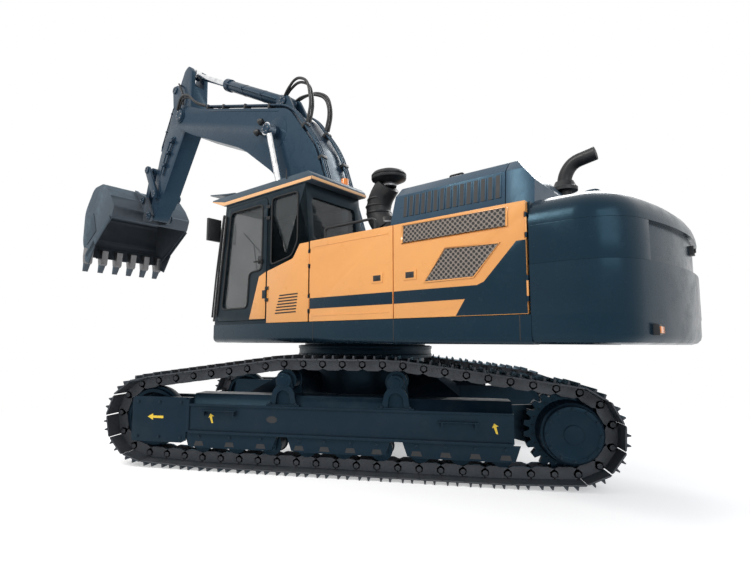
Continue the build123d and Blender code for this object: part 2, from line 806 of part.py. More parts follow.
CW_TOP = 2555
CW_BOTTOM = 1372


def counterweight():
    """Cast counterweight with its rounded tail, an arc about the swing axis."""
    half = HOUSE_HALF_WIDTH
    corner = sqrt(TAIL_RADIUS**2 - half**2)
    edges = [
        Edge.make_line((CW_FRONT, -half), (-corner, -half)),
        Edge.make_three_point_arc((-corner, -half), (-TAIL_RADIUS, 0), (-corner, half)),
        Edge.make_line((-corner, half), (CW_FRONT, half)),
        Edge.make_line((CW_FRONT, half), (CW_FRONT, -half)),
    ]
    body = plate(Face(Wire(edges)), CW_BOTTOM, CW_TOP)
    corners = [e for e in body.edges().filter_by(Axis.Z) if e.center().Y > -CW_FRONT + 50]
    radius = min(TAIL_CORNER, corner + CW_FRONT)
    body = fillet(corners, radius)
    top = [e for e in body.edges() if at_height(e, CW_TOP) and e.center().Y > -CW_FRONT + 50]
    body = fillet(top, min(TAIL_CROWN, radius / 2))
    bottom = [e for e in body.edges() if at_height(e, CW_BOTTOM) and e.center().Y > -CW_FRONT + 50]
    return fillet(bottom, min(TAIL_FOOT, radius / 4))


def engine_block():
    """The engine as one plain block, across the rear of the house."""
    return block(REAR_SEAM + 332, MIDDLE_SEAM - 230, -620, 680, SKIRT_TOP + SEAT_GAP, HOOD_TOP - 250)


HOOD_HINGE = (-HOOD_HALF_WIDTH - 15, PANEL_TOP + 14)


def hood_section(inset, top):
    """Front view of the hood, leaning in at both sides."""
    half = HOOD_HALF_WIDTH - inset
    lean = 130
    return outline(
        (-half, PANEL_TOP + RUNNING_GAP),
        (half, PANEL_TOP + RUNNING_GAP),
        (half - lean * 0.25, top - 110, 20),
        (half - lean, top, 60),
        (-half + lean, top, 60),
        (-half + lean * 0.25, top - 110, 20),
    )


def engine_hood():
    """Lifting hood over the engine, hollow, hinged along its right side."""
    outer = beam(hood_section(0, HOOD_TOP), HOOD_REAR, HOOD_FRONT)
    low = PANEL_TOP + RUNNING_GAP
    lip = outline((HOOD_REAR - 10, low - 5), (HOOD_FRONT + 10, low - 5), (HOOD_FRONT - 70, HOOD_TOP + 10), (HOOD_REAR - 10, HOOD_TOP + 10))
    outer = outer & slab(lip, -HOOD_HALF_WIDTH - 10, HOOD_HALF_WIDTH + 10)
    inner = beam(hood_section(HOOD_WALL, HOOD_TOP - HOOD_WALL), HOOD_REAR + HOOD_WALL, HOOD_FRONT - HOOD_WALL - 80)
    inner = inner + block(HOOD_REAR + HOOD_WALL, HOOD_FRONT - HOOD_WALL - 80, -HOOD_HALF_WIDTH + HOOD_WALL, HOOD_HALF_WIDTH - HOOD_WALL, low - 20, low + 20)
    hood = outer - inner
    for u in (HOOD_REAR + 200, HOOD_FRONT - 200):
        barrel = round_bar((u - 60, HOOD_HINGE[0], HOOD_HINGE[1]), (u + 60, HOOD_HINGE[0], HOOD_HINGE[1]), 12)
        leaf = block(u - 60, u + 60, HOOD_HINGE[0], -HOOD_HALF_WIDTH + 20, HOOD_HINGE[1] - 4, HOOD_HINGE[1] + 8)
        hood = hood + (barrel + leaf)
    return hood


def hood_hinge_posts():
    """Fixed barrels of the hood hinge, standing on the top deck."""
    posts = []
    for u in (HOOD_REAR + 200, HOOD_FRONT - 200):
        for place in (-1, 1):
            near = u + place * (60 + SEAT_GAP)
            far = near + place * 40
            barrel = round_bar((near, HOOD_HINGE[0], HOOD_HINGE[1]), (far, HOOD_HINGE[0], HOOD_HINGE[1]), 12)
            foot = block(min(near, far), max(near, far), HOOD_HINGE[0] - 8, HOOD_HINGE[0] + 8, PANEL_TOP + SEAT_GAP, HOOD_HINGE[1])
            posts.append(barrel + foot)
    return posts


def cowl_body():
    """The cowl's solid, falling away towards the counterweight."""
    low = PANEL_TOP + SEAT_GAP
    section = beam(hood_section(0, HOOD_TOP), CW_FRONT + SEAT_GAP, HOOD_REAR - RUNNING_GAP - 3)
    side_cut = outline((CW_FRONT, low - 5), (HOOD_REAR, low - 5), (HOOD_REAR, HOOD_TOP + 10), (HOOD_REAR - 60, HOOD_TOP + 10), (CW_FRONT, CW_TOP + 160))
    cowl = section & slab(side_cut, -HOOD_HALF_WIDTH - 10, HOOD_HALF_WIDTH + 10)
    foot = block(CW_FRONT + SEAT_GAP, HOOD_REAR - RUNNING_GAP - 3, -HOOD_HALF_WIDTH, HOOD_HALF_WIDTH, low, low + 20)
    return cowl + foot


def rear_cowl():
    """Fixed cowl between the hood and the counterweight, with the hood's hinge posts."""
    return Compound(cowl_body().solids() + hood_hinge_posts())


EXHAUST = (-2715, 110)
EXHAUST_RADIUS = 62


def exhaust_stack():
    """Bent exhaust pipe with its round base on the cowl."""
    u, v = EXHAUST
    foot = HOOD_TOP - 110
    path = FilletPolyline((v, -u, foot), (v, -u, HOOD_TOP + 170), (v, -u + 270, HOOD_TOP + 330), radius=170)
    pipe = sweep(Plane(origin=(v, -u, foot), z_dir=(0, 0, 1)) * Circle(EXHAUST_RADIUS), path=path)
    base = upright(u, v, HOOD_TOP - 60, HOOD_TOP + 30, EXHAUST_RADIUS + 38)
    return pipe + base - Pos(0, 0, SEAT_GAP) * cowl_body()


PRECLEANER = (-1010, 830)
PRECLEANER_RADIUS = 165
PRECLEANER_TOP = 3377
STACK_RADIUS = 100


def precleaner():
    """Air intake stack with its round precleaner bowl."""
    u, v = PRECLEANER
    foot = PANEL_TOP + SEAT_GAP
    top = PRECLEANER_TOP - foot
    bowl = PRECLEANER_RADIUS
    stack = turned_up(
        [
            (0, 0),
            (STACK_RADIUS + 50, 0),
            (STACK_RADIUS + 50, 60),
            (STACK_RADIUS, 90),
            (STACK_RADIUS, top - 320),
            (STACK_RADIUS - 25, top - 290),
            (STACK_RADIUS - 25, top - 240),
            (bowl - 15, top - 140),
            (bowl, top - 80),
            (bowl - 15, top - 30),
            (bowl - 75, top),
            (0, top),
        ],
    )
    return Pos(v, -u, foot) * stack


def turned_up(profile):
    """Revolves (radius, height) points about the vertical axis."""
    face = Face(Wire.make_polygon([Vector(a, 0, b) for a, b in profile], close=True))
    return revolve(face, Axis.Z)


def fuel_tank():
    tank = block(FUEL_REAR + 10, FUEL_FRONT, TANK_RIGHT, TANK_LEFT, SKIRT_TOP + SEAT_GAP, PANEL_TOP)
    edges = [e for e in tank.edges().filter_by(GeomType.LINE) if e.center().Z > PANEL_TOP - 1]
    return fillet(edges, 40)


def hydraulic_tank():
    tank = block(MIDDLE_SEAM + 30, FUEL_REAR - 10, TANK_RIGHT, TANK_LEFT, SKIRT_TOP + SEAT_GAP, PANEL_TOP)
    tank = tank - block(MIDDLE_SEAM, HOOD_FRONT + 30 + SEAT_GAP, TANK_RIGHT - 10, TANK_LEFT + 10, PANEL_TOP - TOP_PLATE - SEAT_GAP, PANEL_TOP + 10)
    return tank


def storage_box():
    """Right front tool box, stepped as the way up."""
    low = SKIRT_TOP + SEAT_GAP
    face = outline(
        (FUEL_FRONT + 5, low),
        (STORAGE_FRONT - 10, low),
        (STORAGE_FRONT - 10, low + 420, 30),
        (STORAGE_FRONT - 420, low + 420),
        (STORAGE_FRONT - 420, low + 680, 30),
        (FUEL_FRONT + 5, low + 680),
    )
    return slab(face, TANK_RIGHT, TANK_LEFT)


# Cab

CAB_FLOOR = SKIRT_TOP + SEAT_GAP
CAB_LEAN = (CAB_FRONT - CAB_FRONT_TOP) / (CAB_TOP - CAB_FLOOR)
DOOR_LOW = CAB_FLOOR + 45
DOOR_HIGH = CAB_TOP - 50


def front_at(z, inset):
    """Forward place of the leaning cab front at a height, moved in by inset."""
    return CAB_FRONT - CAB_LEAN * (z - CAB_FLOOR) - inset


def cab_side(inset, low, high):
    """Side view of the cab, all round moved in by inset."""
    return outline(
        (CAB_REAR + inset, low),
        (front_at(low, inset), low),
        (front_at(high, inset), high),
        (CAB_REAR_TOP + inset, high),
        (CAB_REAR + inset, CAB_WAIST),
    )


def door_face(grow):
    """Outline of the cab door, grown all round."""
    low = DOOR_LOW - grow
    high = DOOR_HIGH + grow
    return outline(
        (DOOR_REAR - grow, low, 40),
        (front_at(low, PILLAR - grow), low, 40),
        (front_at(high, PILLAR - grow), high, 60),
        (DOOR_REAR - grow, high, 60),
    )


def door_window(shrink):
    """Outline of the upper door window."""
    low = 1800 + shrink
    high = DOOR_HIGH - 75 - shrink
    return outline(
        (DOOR_REAR + 85 + shrink, low + 460, 60),
        (DOOR_REAR + 330 + shrink, low + 440, 40),
        (DOOR_REAR + 360 + shrink, low, 60),
        (front_at(low, PILLAR + 75 + shrink), low, 80),
        (front_at(high, PILLAR + 75 + shrink), high, 80),
        (DOOR_REAR + 85 + shrink, high, 80),
    )


def rear_side_window(shrink):
    return outline(
        (255 - shrink, 2300 + shrink, 40),
        (255 - shrink, WINDOW_TOP - shrink, 50),
        (-205 + shrink, WINDOW_TOP - shrink, 50),
        (-205 + shrink, 2530 + shrink, 50),
        (-110 + shrink, 2370 + shrink, 60),
    )


def right_window(shrink):
    low = 2150 + shrink
    high = WINDOW_TOP - shrink
    return outline(
        (-200 + shrink, low, 60),
        (front_at(low, 120 + shrink), low, 60),
        (front_at(high, 120 + shrink), high, 60),
        (-200 + shrink, high, 60),
    )


def rear_window(shrink):
    return outline(
        (640 + shrink, 2550 + shrink, 50),
        (1400 - shrink, 2550 + shrink, 50),
        (1400 - shrink, 3040 - shrink, 50),
        (640 + shrink, 3040 - shrink, 50),
    )


def front_window(shrink):
    return outline(
        (CAB_RIGHT + 65 + shrink, 1760 + shrink, 60),
        (CAB_LEFT - 65 - shrink, 1760 + shrink, 60),
        (CAB_LEFT - 65 - shrink, 3130 - shrink, 60),
        (CAB_RIGHT + 65 + shrink, 3130 - shrink, 60),
    )


def lower_panel_face(grow):
    """Outline of the lower cab panel, behind the door."""
    return outline(
        (CAB_SEAM + 12 - grow, CAB_FLOOR + 5 - grow),
        (DOOR_REAR - 22 + grow, CAB_FLOOR + 5 - grow),
        (DOOR_REAR - 22 + grow, 2228 + grow),
        (-139, 2335 + grow, 60),
        (-252, PANEL_TOP - 5 + grow),
        (CAB_SEAM + 12 - grow, PANEL_TOP - 5 + grow),
    )


PANEL_INNER = HOUSE_HALF_WIDTH - PANEL_THICKNESS


def cab_shell():
    """Cab floor, pillars and walls with the window and door openings cut."""
    shell = slab(cab_side(0, CAB_FLOOR, CAB_TOP), CAB_RIGHT, CAB_LEFT)
    shell = shell - slab(cab_side(CAB_WALL, CAB_FLOOR + CAB_WALL, CAB_TOP + 50), CAB_RIGHT + CAB_WALL, CAB_LEFT - CAB_WALL)
    shell = shell - slab(door_face(RUNNING_GAP), CAB_LEFT - CAB_WALL - 10, CAB_LEFT + 10)
    shell = shell - slab(rear_side_window(0), CAB_LEFT - CAB_WALL - 10, CAB_LEFT + 10)
    shell = shell - slab(right_window(0), CAB_RIGHT - 10, CAB_RIGHT + CAB_WALL + 10)
    shell = shell - beam(rear_window(0), CAB_REAR - 20, CAB_REAR_TOP + CAB_WALL + 60)
    shell = shell - beam(front_window(0), CAB_FRONT_TOP - CAB_WALL - 80, CAB_FRONT + 50)
    shell = shell - slab(lower_panel_face(2), PANEL_INNER - SEAT_GAP, CAB_LEFT + 10)
    return shell


def cab_lower_panel():
    return slab(lower_panel_face(0), PANEL_INNER, HOUSE_HALF_WIDTH)


def pane(face, wall_low):
    """A pane in the middle of a side wall."""
    middle = wall_low + CAB_WALL / 2
    return slab(face, middle - GLASS / 2, middle + GLASS / 2)


def cab_glass():
    """Front, rear, right and rear-left panes, seated in their openings."""
    inset = (CAB_WALL - GLASS) / 2
    front = beam(front_window(SEAT_GAP), CAB_FRONT_TOP - CAB_WALL - 80, CAB_FRONT + 50)
    skin = slab(cab_side(inset, CAB_FLOOR, CAB_TOP), CAB_RIGHT, CAB_LEFT) - slab(cab_side(inset + GLASS, CAB_FLOOR - 10, CAB_TOP + 10), CAB_RIGHT - 10, CAB_LEFT + 10)
    front = front & skin
    rear = beam(rear_window(SEAT_GAP), CAB_REAR - 20, CAB_REAR_TOP + CAB_WALL + 60) & skin
    return Compound(
        front.solids()
        + rear.solids()
        + pane(right_window(SEAT_GAP), CAB_RIGHT).solids()
        + pane(rear_side_window(SEAT_GAP), CAB_LEFT - CAB_WALL).solids()
    )


def cab_roof():
    """Roof cap with its visor and hatch."""
    face = outline(
        (ROOF_REAR, CAB_TOP + SEAT_GAP),
        (CAB_FRONT_TOP + 40, CAB_TOP + SEAT_GAP),
        (ROOF_FRONT, ROOF_TOP - 30),
        (ROOF_FRONT, ROOF_TOP - 5),
        (CAB_FRONT_TOP, ROOF_TOP, 200),
        (ROOF_REAR + 60, ROOF_TOP - 15, 40),
        (ROOF_REAR, ROOF_TOP - 60, 40),
    )
    return slab(face, CAB_RIGHT - 5, HOUSE_HALF_WIDTH + 5)


DOOR_HINGE_U = DOOR_REAR - 14
DOOR_HINGE_V = CAB_LEFT + 18
DOOR_HINGE_HEIGHTS = (1950, 2950)


def cab_door():
    """Door frame with its window opening and two hinge barrels."""
    door = slab(door_face(0), CAB_LEFT - CAB_WALL + 5, CAB_LEFT + 5)
    door = door - slab(door_window(0), CAB_LEFT - CAB_WALL - 10, CAB_LEFT + 20)
    for z in DOOR_HINGE_HEIGHTS:
        barrel = upright(DOOR_HINGE_U, DOOR_HINGE_V, z - 50, z + 50, 11)
        leaf = block(DOOR_HINGE_U, DOOR_REAR + 60, DOOR_HINGE_V - 14, DOOR_HINGE_V - 4, z - 50, z + 50)
        door = door + (barrel + leaf)
    return door


def cab_door_glass():
    return pane(door_window(SEAT_GAP), CAB_LEFT - CAB_WALL + 2)


def cab_door_hinges():
    """Fixed hinge barrels on the cab's door post."""
    pieces = []
    for z in DOOR_HINGE_HEIGHTS:
        for place in (-1, 1):
            low = z + place * (50 + SEAT_GAP + 20) - 20
            barrel = upright(DOOR_HINGE_U, DOOR_HINGE_V, low, low + 40, 11)
            leaf = block(DOOR_HINGE_U - 45, DOOR_HINGE_U, CAB_LEFT + 10 + SEAT_GAP + 0.2, CAB_LEFT + 18, low, low + 40)
            pieces.append(barrel + leaf)
    return pieces


def cab_interior():
    """Seat and side consoles."""
    low = CAB_FLOOR + CAB_WALL + SEAT_GAP
    middle = (CAB_LEFT + CAB_RIGHT) / 2
    base = block(150, 550, middle - 180, middle + 180, low, low + 280)
    cushion = block(120, 640, middle - 240, middle + 240, low + 280, low + 420)
    back = slab(
        outline((60, low + 400), (190, low + 400), (60, low + 1050, 50), (-60, low + 1050, 50)),
        middle - 230,
        middle + 230,
    )
    left = block(100, 720, middle + 250, middle + 390, low, low + 520)
    right = block(100, 720, middle - 390, middle - 250, low, low + 520)
    bridge = block(150, 500, middle - 390, middle + 390, low + 60, low + 160)
    return base + cushion + back + left + right + bridge


def mirrors():
    """Left mirror on its bar in front of the door post."""
    u = front_at(MIRROR_HEIGHT, 0) + 80
    v = CAB_LEFT - 20
    foot = (front_at(MIRROR_FOOT, -55), v, MIRROR_FOOT - 15)
    head = (front_at(MIRROR_HEAD, -55), v, MIRROR_HEAD + 30)
    mirror_set = round_bar(foot, head, 14)
    for z in (MIRROR_FOOT, MIRROR_HEAD):
        arm_low = block(front_at(z, 0) - 15, front_at(z, -60), v - 14, v + 14, z - 15, z + 15)
        mirror_set = mirror_set + (arm_low - slab(cab_side(-SEAT_GAP, CAB_FLOOR, CAB_TOP), CAB_RIGHT, CAB_LEFT))
    glass = block(u - 10, u + 30, v + 20, v + 220, MIRROR_HEIGHT - 150, MIRROR_HEIGHT + 150)
    stay = round_bar((front_at(MIRROR_HEIGHT, -55), v, MIRROR_HEIGHT), (u, v + 60, MIRROR_HEIGHT), 10)
    return mirror_set + glass + stay


def rail(points, radius, bend):
    """A bent round bar through (u, v, z) points."""
    places = [(v, -u, z) for u, v, z in points]
    path = FilletPolyline(*places, radius=bend)
    plane = Plane(origin=path @ 0, z_dir=path % 0)
    return sweep(plane * Circle(radius), path=path)


def handrails():
    """Bent rail along the right front steps."""
    v = TANK_RIGHT + 60
    front = STORAGE_FRONT - 60
    back = FUEL_FRONT - 80
    low = SKIRT_TOP + 420 + SEAT_GAP * 2
    return rail(
        ((front, v, low), (front, v, HANDRAIL_TOP), (back, v, HANDRAIL_TOP), (back, v, PANEL_TOP + SEAT_GAP)),
        17,
        90,
    )


def beacon():
    """Round beacon on the cab roof."""
    base = upright(-180, 640, ROOF_TOP - 40, ROOF_TOP + 30, 60)
    lens = upright(-180, 640, ROOF_TOP + 30, ROOF_TOP + 150, 48)
    return base + lens - Pos(0, 0, SEAT_GAP) * cab_roof()


# Working equipment


def boom_side():
    """Side view of the boom, from its foot over the bend to its nose."""
    fu, fz = BOOM_FOOT
    nu, nz = BOOM_NOSE
    return outline(
        (fu - 205, fz - 60, 160),
        (fu + 60, fz - 215, 150),
        (fu + 290, fz + 10, 200),
        (1000, 3180, 1500),
        (1699, 4118, 900),
        (2560, 4760, 2400),
        (4200, 5480, 300),
        (nu + 150, nz - 215, 160),
        (nu + 215, nz + 100, 160),
        (nu - 30, nz + 235, 160),
        (3933, 5936, 1800),
        (1350, 5100, 500),
        (740, 4300, 900),
    )


def boom():
    """Box boom with a forked nose, cylinder bosses and the arm cylinder ears."""
    low = BOOM_V - BOOM_HALF_WIDTH
    high = BOOM_V + BOOM_HALF_WIDTH
    body = slab(boom_side(), low, high)
    body = body - slab(fork_cut(), BOOM_V - ARM_HALF_WIDTH - RUNNING_GAP, BOOM_V + ARM_HALF_WIDTH + RUNNING_GAP)
    foot_pin = cross_pin(BOOM_FOOT, PIN_RADIUS + 20, low - RUNNING_GAP - BRACKET_THICKNESS, high + RUNNING_GAP + BRACKET_THICKNESS)
    body = body + foot_pin
    boss = BOOM_CYLINDER_V - CYLINDER_EYE_WIDTH / 2 - RUNNING_GAP
    body = body + cross_pin(BOOM_PIN, CYLINDER_EYE, BOOM_V - boss, BOOM_V + boss)
    body = body + cross_pin(BOOM_NOSE, 150, low - 25, high + 25)
    body = body - slab(fork_cut(), BOOM_V - ARM_HALF_WIDTH - RUNNING_GAP, BOOM_V + ARM_HALF_WIDTH + RUNNING_GAP)
    body = body + cross_pin(BOOM_NOSE, PIN_RADIUS + 10, low, high)
    au, az = ARM_CYLINDER_BASE
    ear = outline((au - 420, 4900), (au - 330, 5060, 40), (au - 100, az + 80, 90), (au + 90, az + 100, 90), (au + 420, 5200), (au + 300, 4950))
    for place in (-1, 1):
        inner = BOOM_V + place * EAR_GAP
        outer = BOOM_V + place * (EAR_GAP + 50)
        body = body + slab(ear, min(inner, outer), max(inner, outer))
    body = body + cross_pin(ARM_CYLINDER_BASE, PIN_RADIUS, BOOM_V - EAR_GAP - 60, BOOM_V + EAR_GAP + 60)
    return body


FORK_DEPTH = 470


def fork_cut():
    """The room for the arm between the two ears of the boom nose."""
    nu, nz = BOOM_NOSE
    return outline((nu - FORK_DEPTH, nz - 700), (nu + 600, nz - 700), (nu + 600, nz + 600), (nu - FORK_DEPTH, nz + 600))


def cylinder_barrel(base, top, v, length, radius, bore, bored=True):
    """Barrel with its base eye, hollow for the rod."""
    eye = cross_pin(base, CYLINDER_EYE, v - CYLINDER_EYE_WIDTH / 2, v + CYLINDER_EYE_WIDTH / 2)
    start = beyond(base, top, 60)
    end = beyond(base, top, length)
    neck_end = beyond(base, top, 190)
    neck = round_bar((start[0], v, start[1]), (neck_end[0], v, neck_end[1]), CYLINDER_EYE_WIDTH / 2 - 6)
    tube = round_bar((neck_end[0], v, neck_end[1]), (end[0], v, end[1]), radius)
    barrel = eye + neck + tube
    far = beyond(base, top, length + 50)
    hollow_start = beyond(base, top, 260)
    hollow = round_bar((hollow_start[0], v, hollow_start[1]), (far[0], v, far[1]), bore)
    barrel = barrel - hollow
    if bored:
        barrel = barrel - cross_pin(base, PIN_RADIUS + PIN_GAP, v - 200, v + 200)
    return barrel


def cylinder_rod(base, top, v, inside, radius, eye_radius):
    """Rod with its end eye and the pin segment that the eye carries."""
    eye = cross_pin(top, eye_radius, v - CYLINDER_EYE_WIDTH / 2, v + CYLINDER_EYE_WIDTH / 2)
    start = beyond(base, top, inside)
    end = beyond(base, top, distance(base, top) - 30)
    rod = round_bar((start[0], v, start[1]), (end[0], v, end[1]), radius)
    return eye + rod


def boom_barrel(side):
    v = BOOM_V + side * BOOM_CYLINDER_V
    barrel = cylinder_barrel(
        BOOM_CYLINDER_BASE, BOOM_PIN, v, BOOM_BARREL_LENGTH, BOOM_BARREL_RADIUS, BOOM_ROD_RADIUS + PIN_GAP, bored=False
    )
    inner = BOOM_V + side * (BOOM_HALF_WIDTH + RUNNING_GAP)
    outer = BOOM_V + side * (BOOM_CYLINDER_V + CYLINDER_EYE_WIDTH / 2 + RUNNING_GAP + 35)
    pin = cross_pin(BOOM_CYLINDER_BASE, PIN_RADIUS, min(inner, outer), max(inner, outer))
    return barrel + pin


def boom_rod(side):
    v = BOOM_V + side * BOOM_CYLINDER_V
    return cylinder_rod(BOOM_CYLINDER_BASE, BOOM_PIN, v, 1250, BOOM_ROD_RADIUS, CYLINDER_EYE)


def arm_side():
    """Side view of the arm."""
    ku, kz = ARM_TOP_PIN
    ju, jz = BOOM_NOSE
    bu, bz = BUCKET_PIN
    return outline(
        (ku - 130, kz - 20, 110),
        (ku - 20, kz + 140, 110),
        (ku + 150, kz + 60, 110),
        (5020, 6720, 300),
        (5354, 5985, 700),
        (5690, 5440, 900),
        (bu + 130, bz + 50, 110),
        (bu + 25, bz - 140, 110),
        (bu - 140, bz - 30, 110),
        (5420, 4620, 900),
        (4700, 5700, 400),
        (ju - 235, jz - 40, 160),
        (ju - 190, jz + 260, 200),
    )


def arm():
    """Box arm with bosses, the top ears and the bucket cylinder ears."""
    low = BOOM_V - ARM_HALF_WIDTH
    high = BOOM_V + ARM_HALF_WIDTH
    body = slab(arm_side(), low, high)
    nose = 20
    for place in (-1, 1):
        inner = BOOM_V + place * (ARM_HALF_WIDTH - nose)
        outer = BOOM_V + place * (ARM_HALF_WIDTH + 10)
        cut = outline(
            (BUCKET_PIN[0] - 300, BUCKET_PIN[1] - 300),
            (BUCKET_PIN[0] + 300, BUCKET_PIN[1] - 300),
            (BUCKET_PIN[0] + 300, BUCKET_PIN[1] + 520),
            (BUCKET_PIN[0] - 20, BUCKET_PIN[1] + 520),
            (BUCKET_PIN[0] - 300, BUCKET_PIN[1] + 120),
        )
        body = body - slab(cut, min(inner, outer), max(inner, outer))
    ku, kz = ARM_TOP_PIN
    slot = outline((ku - 500, kz - 330), (ku + 230, kz - 330), (ku + 230, kz + 400), (ku - 500, kz + 400))
    body = body - slab(slot, BOOM_V - EAR_GAP, BOOM_V + EAR_GAP)
    eu, ez = BUCKET_CYLINDER_BASE
    ear = outline((eu - 330, ez - 20), (eu - 60, ez + 90, 80), (eu + 90, ez + 40, 80), (eu + 40, ez - 380), (eu - 150, ez - 420))
    for place in (-1, 1):
        inner = BOOM_V + place * EAR_GAP
        outer = BOOM_V + place * ARM_HALF_WIDTH
        body = body + slab(ear, min(inner, outer), max(inner, outer))
    room = outline((eu - 130, ez - 130), (eu + 200, ez - 180), (eu + 200, ez + 200), (eu - 130, ez + 200))
    body = body - slab(room, BOOM_V - EAR_GAP, BOOM_V + EAR_GAP)
    body = body + cross_pin(BUCKET_CYLINDER_BASE, PIN_RADIUS, low, high)
    boss = ROCKER_IN - RUNNING_GAP
    body = body + cross_pin(ROCKER_PIN, PIN_RADIUS + 40, BOOM_V - boss, BOOM_V + boss)
    body = body - cross_pin(BOOM_NOSE, PIN_RADIUS + 10 + PIN_GAP, low - 10, high + 10)
    body = body - cross_pin(BUCKET_PIN, PIN_RADIUS + PIN_GAP, low - 10, high + 10)
    body = body - cross_pin(ROCKER_PIN, PIN_RADIUS + PIN_GAP, BOOM_V - boss - 10, BOOM_V + boss + 10)
    return body


def arm_barrel():
    v = BOOM_V
    barrel = cylinder_barrel(ARM_CYLINDER_BASE, ARM_TOP_PIN, v, ARM_BARREL_LENGTH, ARM_BARREL_RADIUS, ARM_ROD_RADIUS + PIN_GAP)
    return barrel


def arm_rod():
    return cylinder_rod(ARM_CYLINDER_BASE, ARM_TOP_PIN, BOOM_V, 1200, ARM_ROD_RADIUS, CYLINDER_EYE)


def rocker_end(bucket_turn=0.0):
    """Where the rocker and the push link meet, for a turn of the bucket in degrees (dump is positive)."""
    au, az = BUCKET_PIN
    du = BUCKET_LINK_PIN[0] - au
    dz = BUCKET_LINK_PIN[1] - az
    turn = radians(bucket_turn)
    bu = au + du * cos(turn) - dz * sin(turn)
    bz = az + du * sin(turn) + dz * cos(turn)
    span = distance(ROCKER_PIN, (bu, bz))
    reach = (ROCKER_LENGTH**2 - LINK_LENGTH**2 + span**2) / (2 * span)
    aside = sqrt(ROCKER_LENGTH**2 - reach**2)
    return beyond(ROCKER_PIN, (bu, bz), reach, aside)


ROCKER_JOINT = rocker_end()
BUCKET_EAR_IN = ARM_HALF_WIDTH - 20 + RUNNING_GAP
BUCKET_EAR_OUT = BUCKET_EAR_IN + 60
ROCKER_IN = BUCKET_EAR_OUT + RUNNING_GAP
ROCKER_OUT = ROCKER_IN + 50
LINK_IN = CYLINDER_EYE_WIDTH / 2 + RUNNING_GAP
LINK_OUT = BUCKET_EAR_IN - RUNNING_GAP


def link_plate(first, last, radius_first, radius_last, v_low, v_high):
    """A flat bar with two round ends."""
    length = distance(first, last)
    du = (last[0] - first[0]) / length
    dz = (last[1] - first[1]) / length
    bar = outline(
        (first[0] - dz * radius_first, first[1] + du * radius_first),
        (last[0] - dz * radius_last, last[1] + du * radius_last),
        (last[0] + dz * radius_last, last[1] - du * radius_last),
        (first[0] + dz * radius_first, first[1] - du * radius_first),
    )
    solid = slab(bar, v_low, v_high)
    return solid + cross_pin(first, radius_first, v_low, v_high) + cross_pin(last, radius_last, v_low, v_high)


def rockers():
    """Two rocker plates joined by the pin through the arm."""
    pair = cross_pin(ROCKER_PIN, PIN_RADIUS, BOOM_V - ROCKER_OUT, BOOM_V + ROCKER_OUT)
    for place in (-1, 1):
        inner = BOOM_V + place * ROCKER_IN
        outer = BOOM_V + place * ROCKER_OUT
        pair = pair + link_plate(ROCKER_PIN, ROCKER_JOINT, 95, 90, min(inner, outer), max(inner, outer))
        near = BOOM_V + place * (LINK_OUT + RUNNING_GAP)
        pair = pair + cross_pin(ROCKER_JOINT, PIN_RADIUS, min(near, outer), max(near, outer))
    return pair


def push_link():
    """Two link bars with a cross plate near the bucket end."""
    link = None
    for place in (-1, 1):
        inner = BOOM_V + place * LINK_IN
        outer = BOOM_V + place * LINK_OUT
        bar = link_plate(ROCKER_JOINT, BUCKET_LINK_PIN, 80, 78, min(inner, outer), max(inner, outer))
        link = bar if link is None else link + bar
    start = between(ROCKER_JOINT, BUCKET_LINK_PIN, 0.62)
    tie = link_plate(start, BUCKET_LINK_PIN, 45, 45, BOOM_V - LINK_IN - 5, BOOM_V + LINK_IN + 5)
    link = link + tie
    return link - cross_pin(BUCKET_LINK_PIN, PIN_RADIUS - 10 + PIN_GAP, BOOM_V - 300, BOOM_V + 300)


def bucket_barrel():
    return cylinder_barrel(
        BUCKET_CYLINDER_BASE, ROCKER_JOINT, BOOM_V, BUCKET_BARREL_LENGTH, BUCKET_BARREL_RADIUS, BUCKET_ROD_RADIUS + PIN_GAP
    )


def bucket_rod():
    return cylinder_rod(BUCKET_CYLINDER_BASE, ROCKER_JOINT, BOOM_V, 700, BUCKET_ROD_RADIUS, 90)


def bucket_side(inset):
    """Side view of the bucket, moved in by inset along the wrapper."""
    i = inset
    tu, tz = BUCKET_TIP
    face = outline(
        (tu - 130 - i * 0.4, tz + 330 - i * 0.2),
        (tu + 90 - i, tz + 700, 420),
        (tu + 40 - i, tz + 1420 - i * 0.6, 420),
        (tu - 420 - i * 0.3, tz + 1900 - i, 330),
        (6800, tz + 1900 - i, 300),
        (6440 + i, 4560 - i * 0.7, 120),
        (6240 + i, 4290 - i * 0.3, 60),
        (6330 + i * 0.5, 4070),
    )
    return face


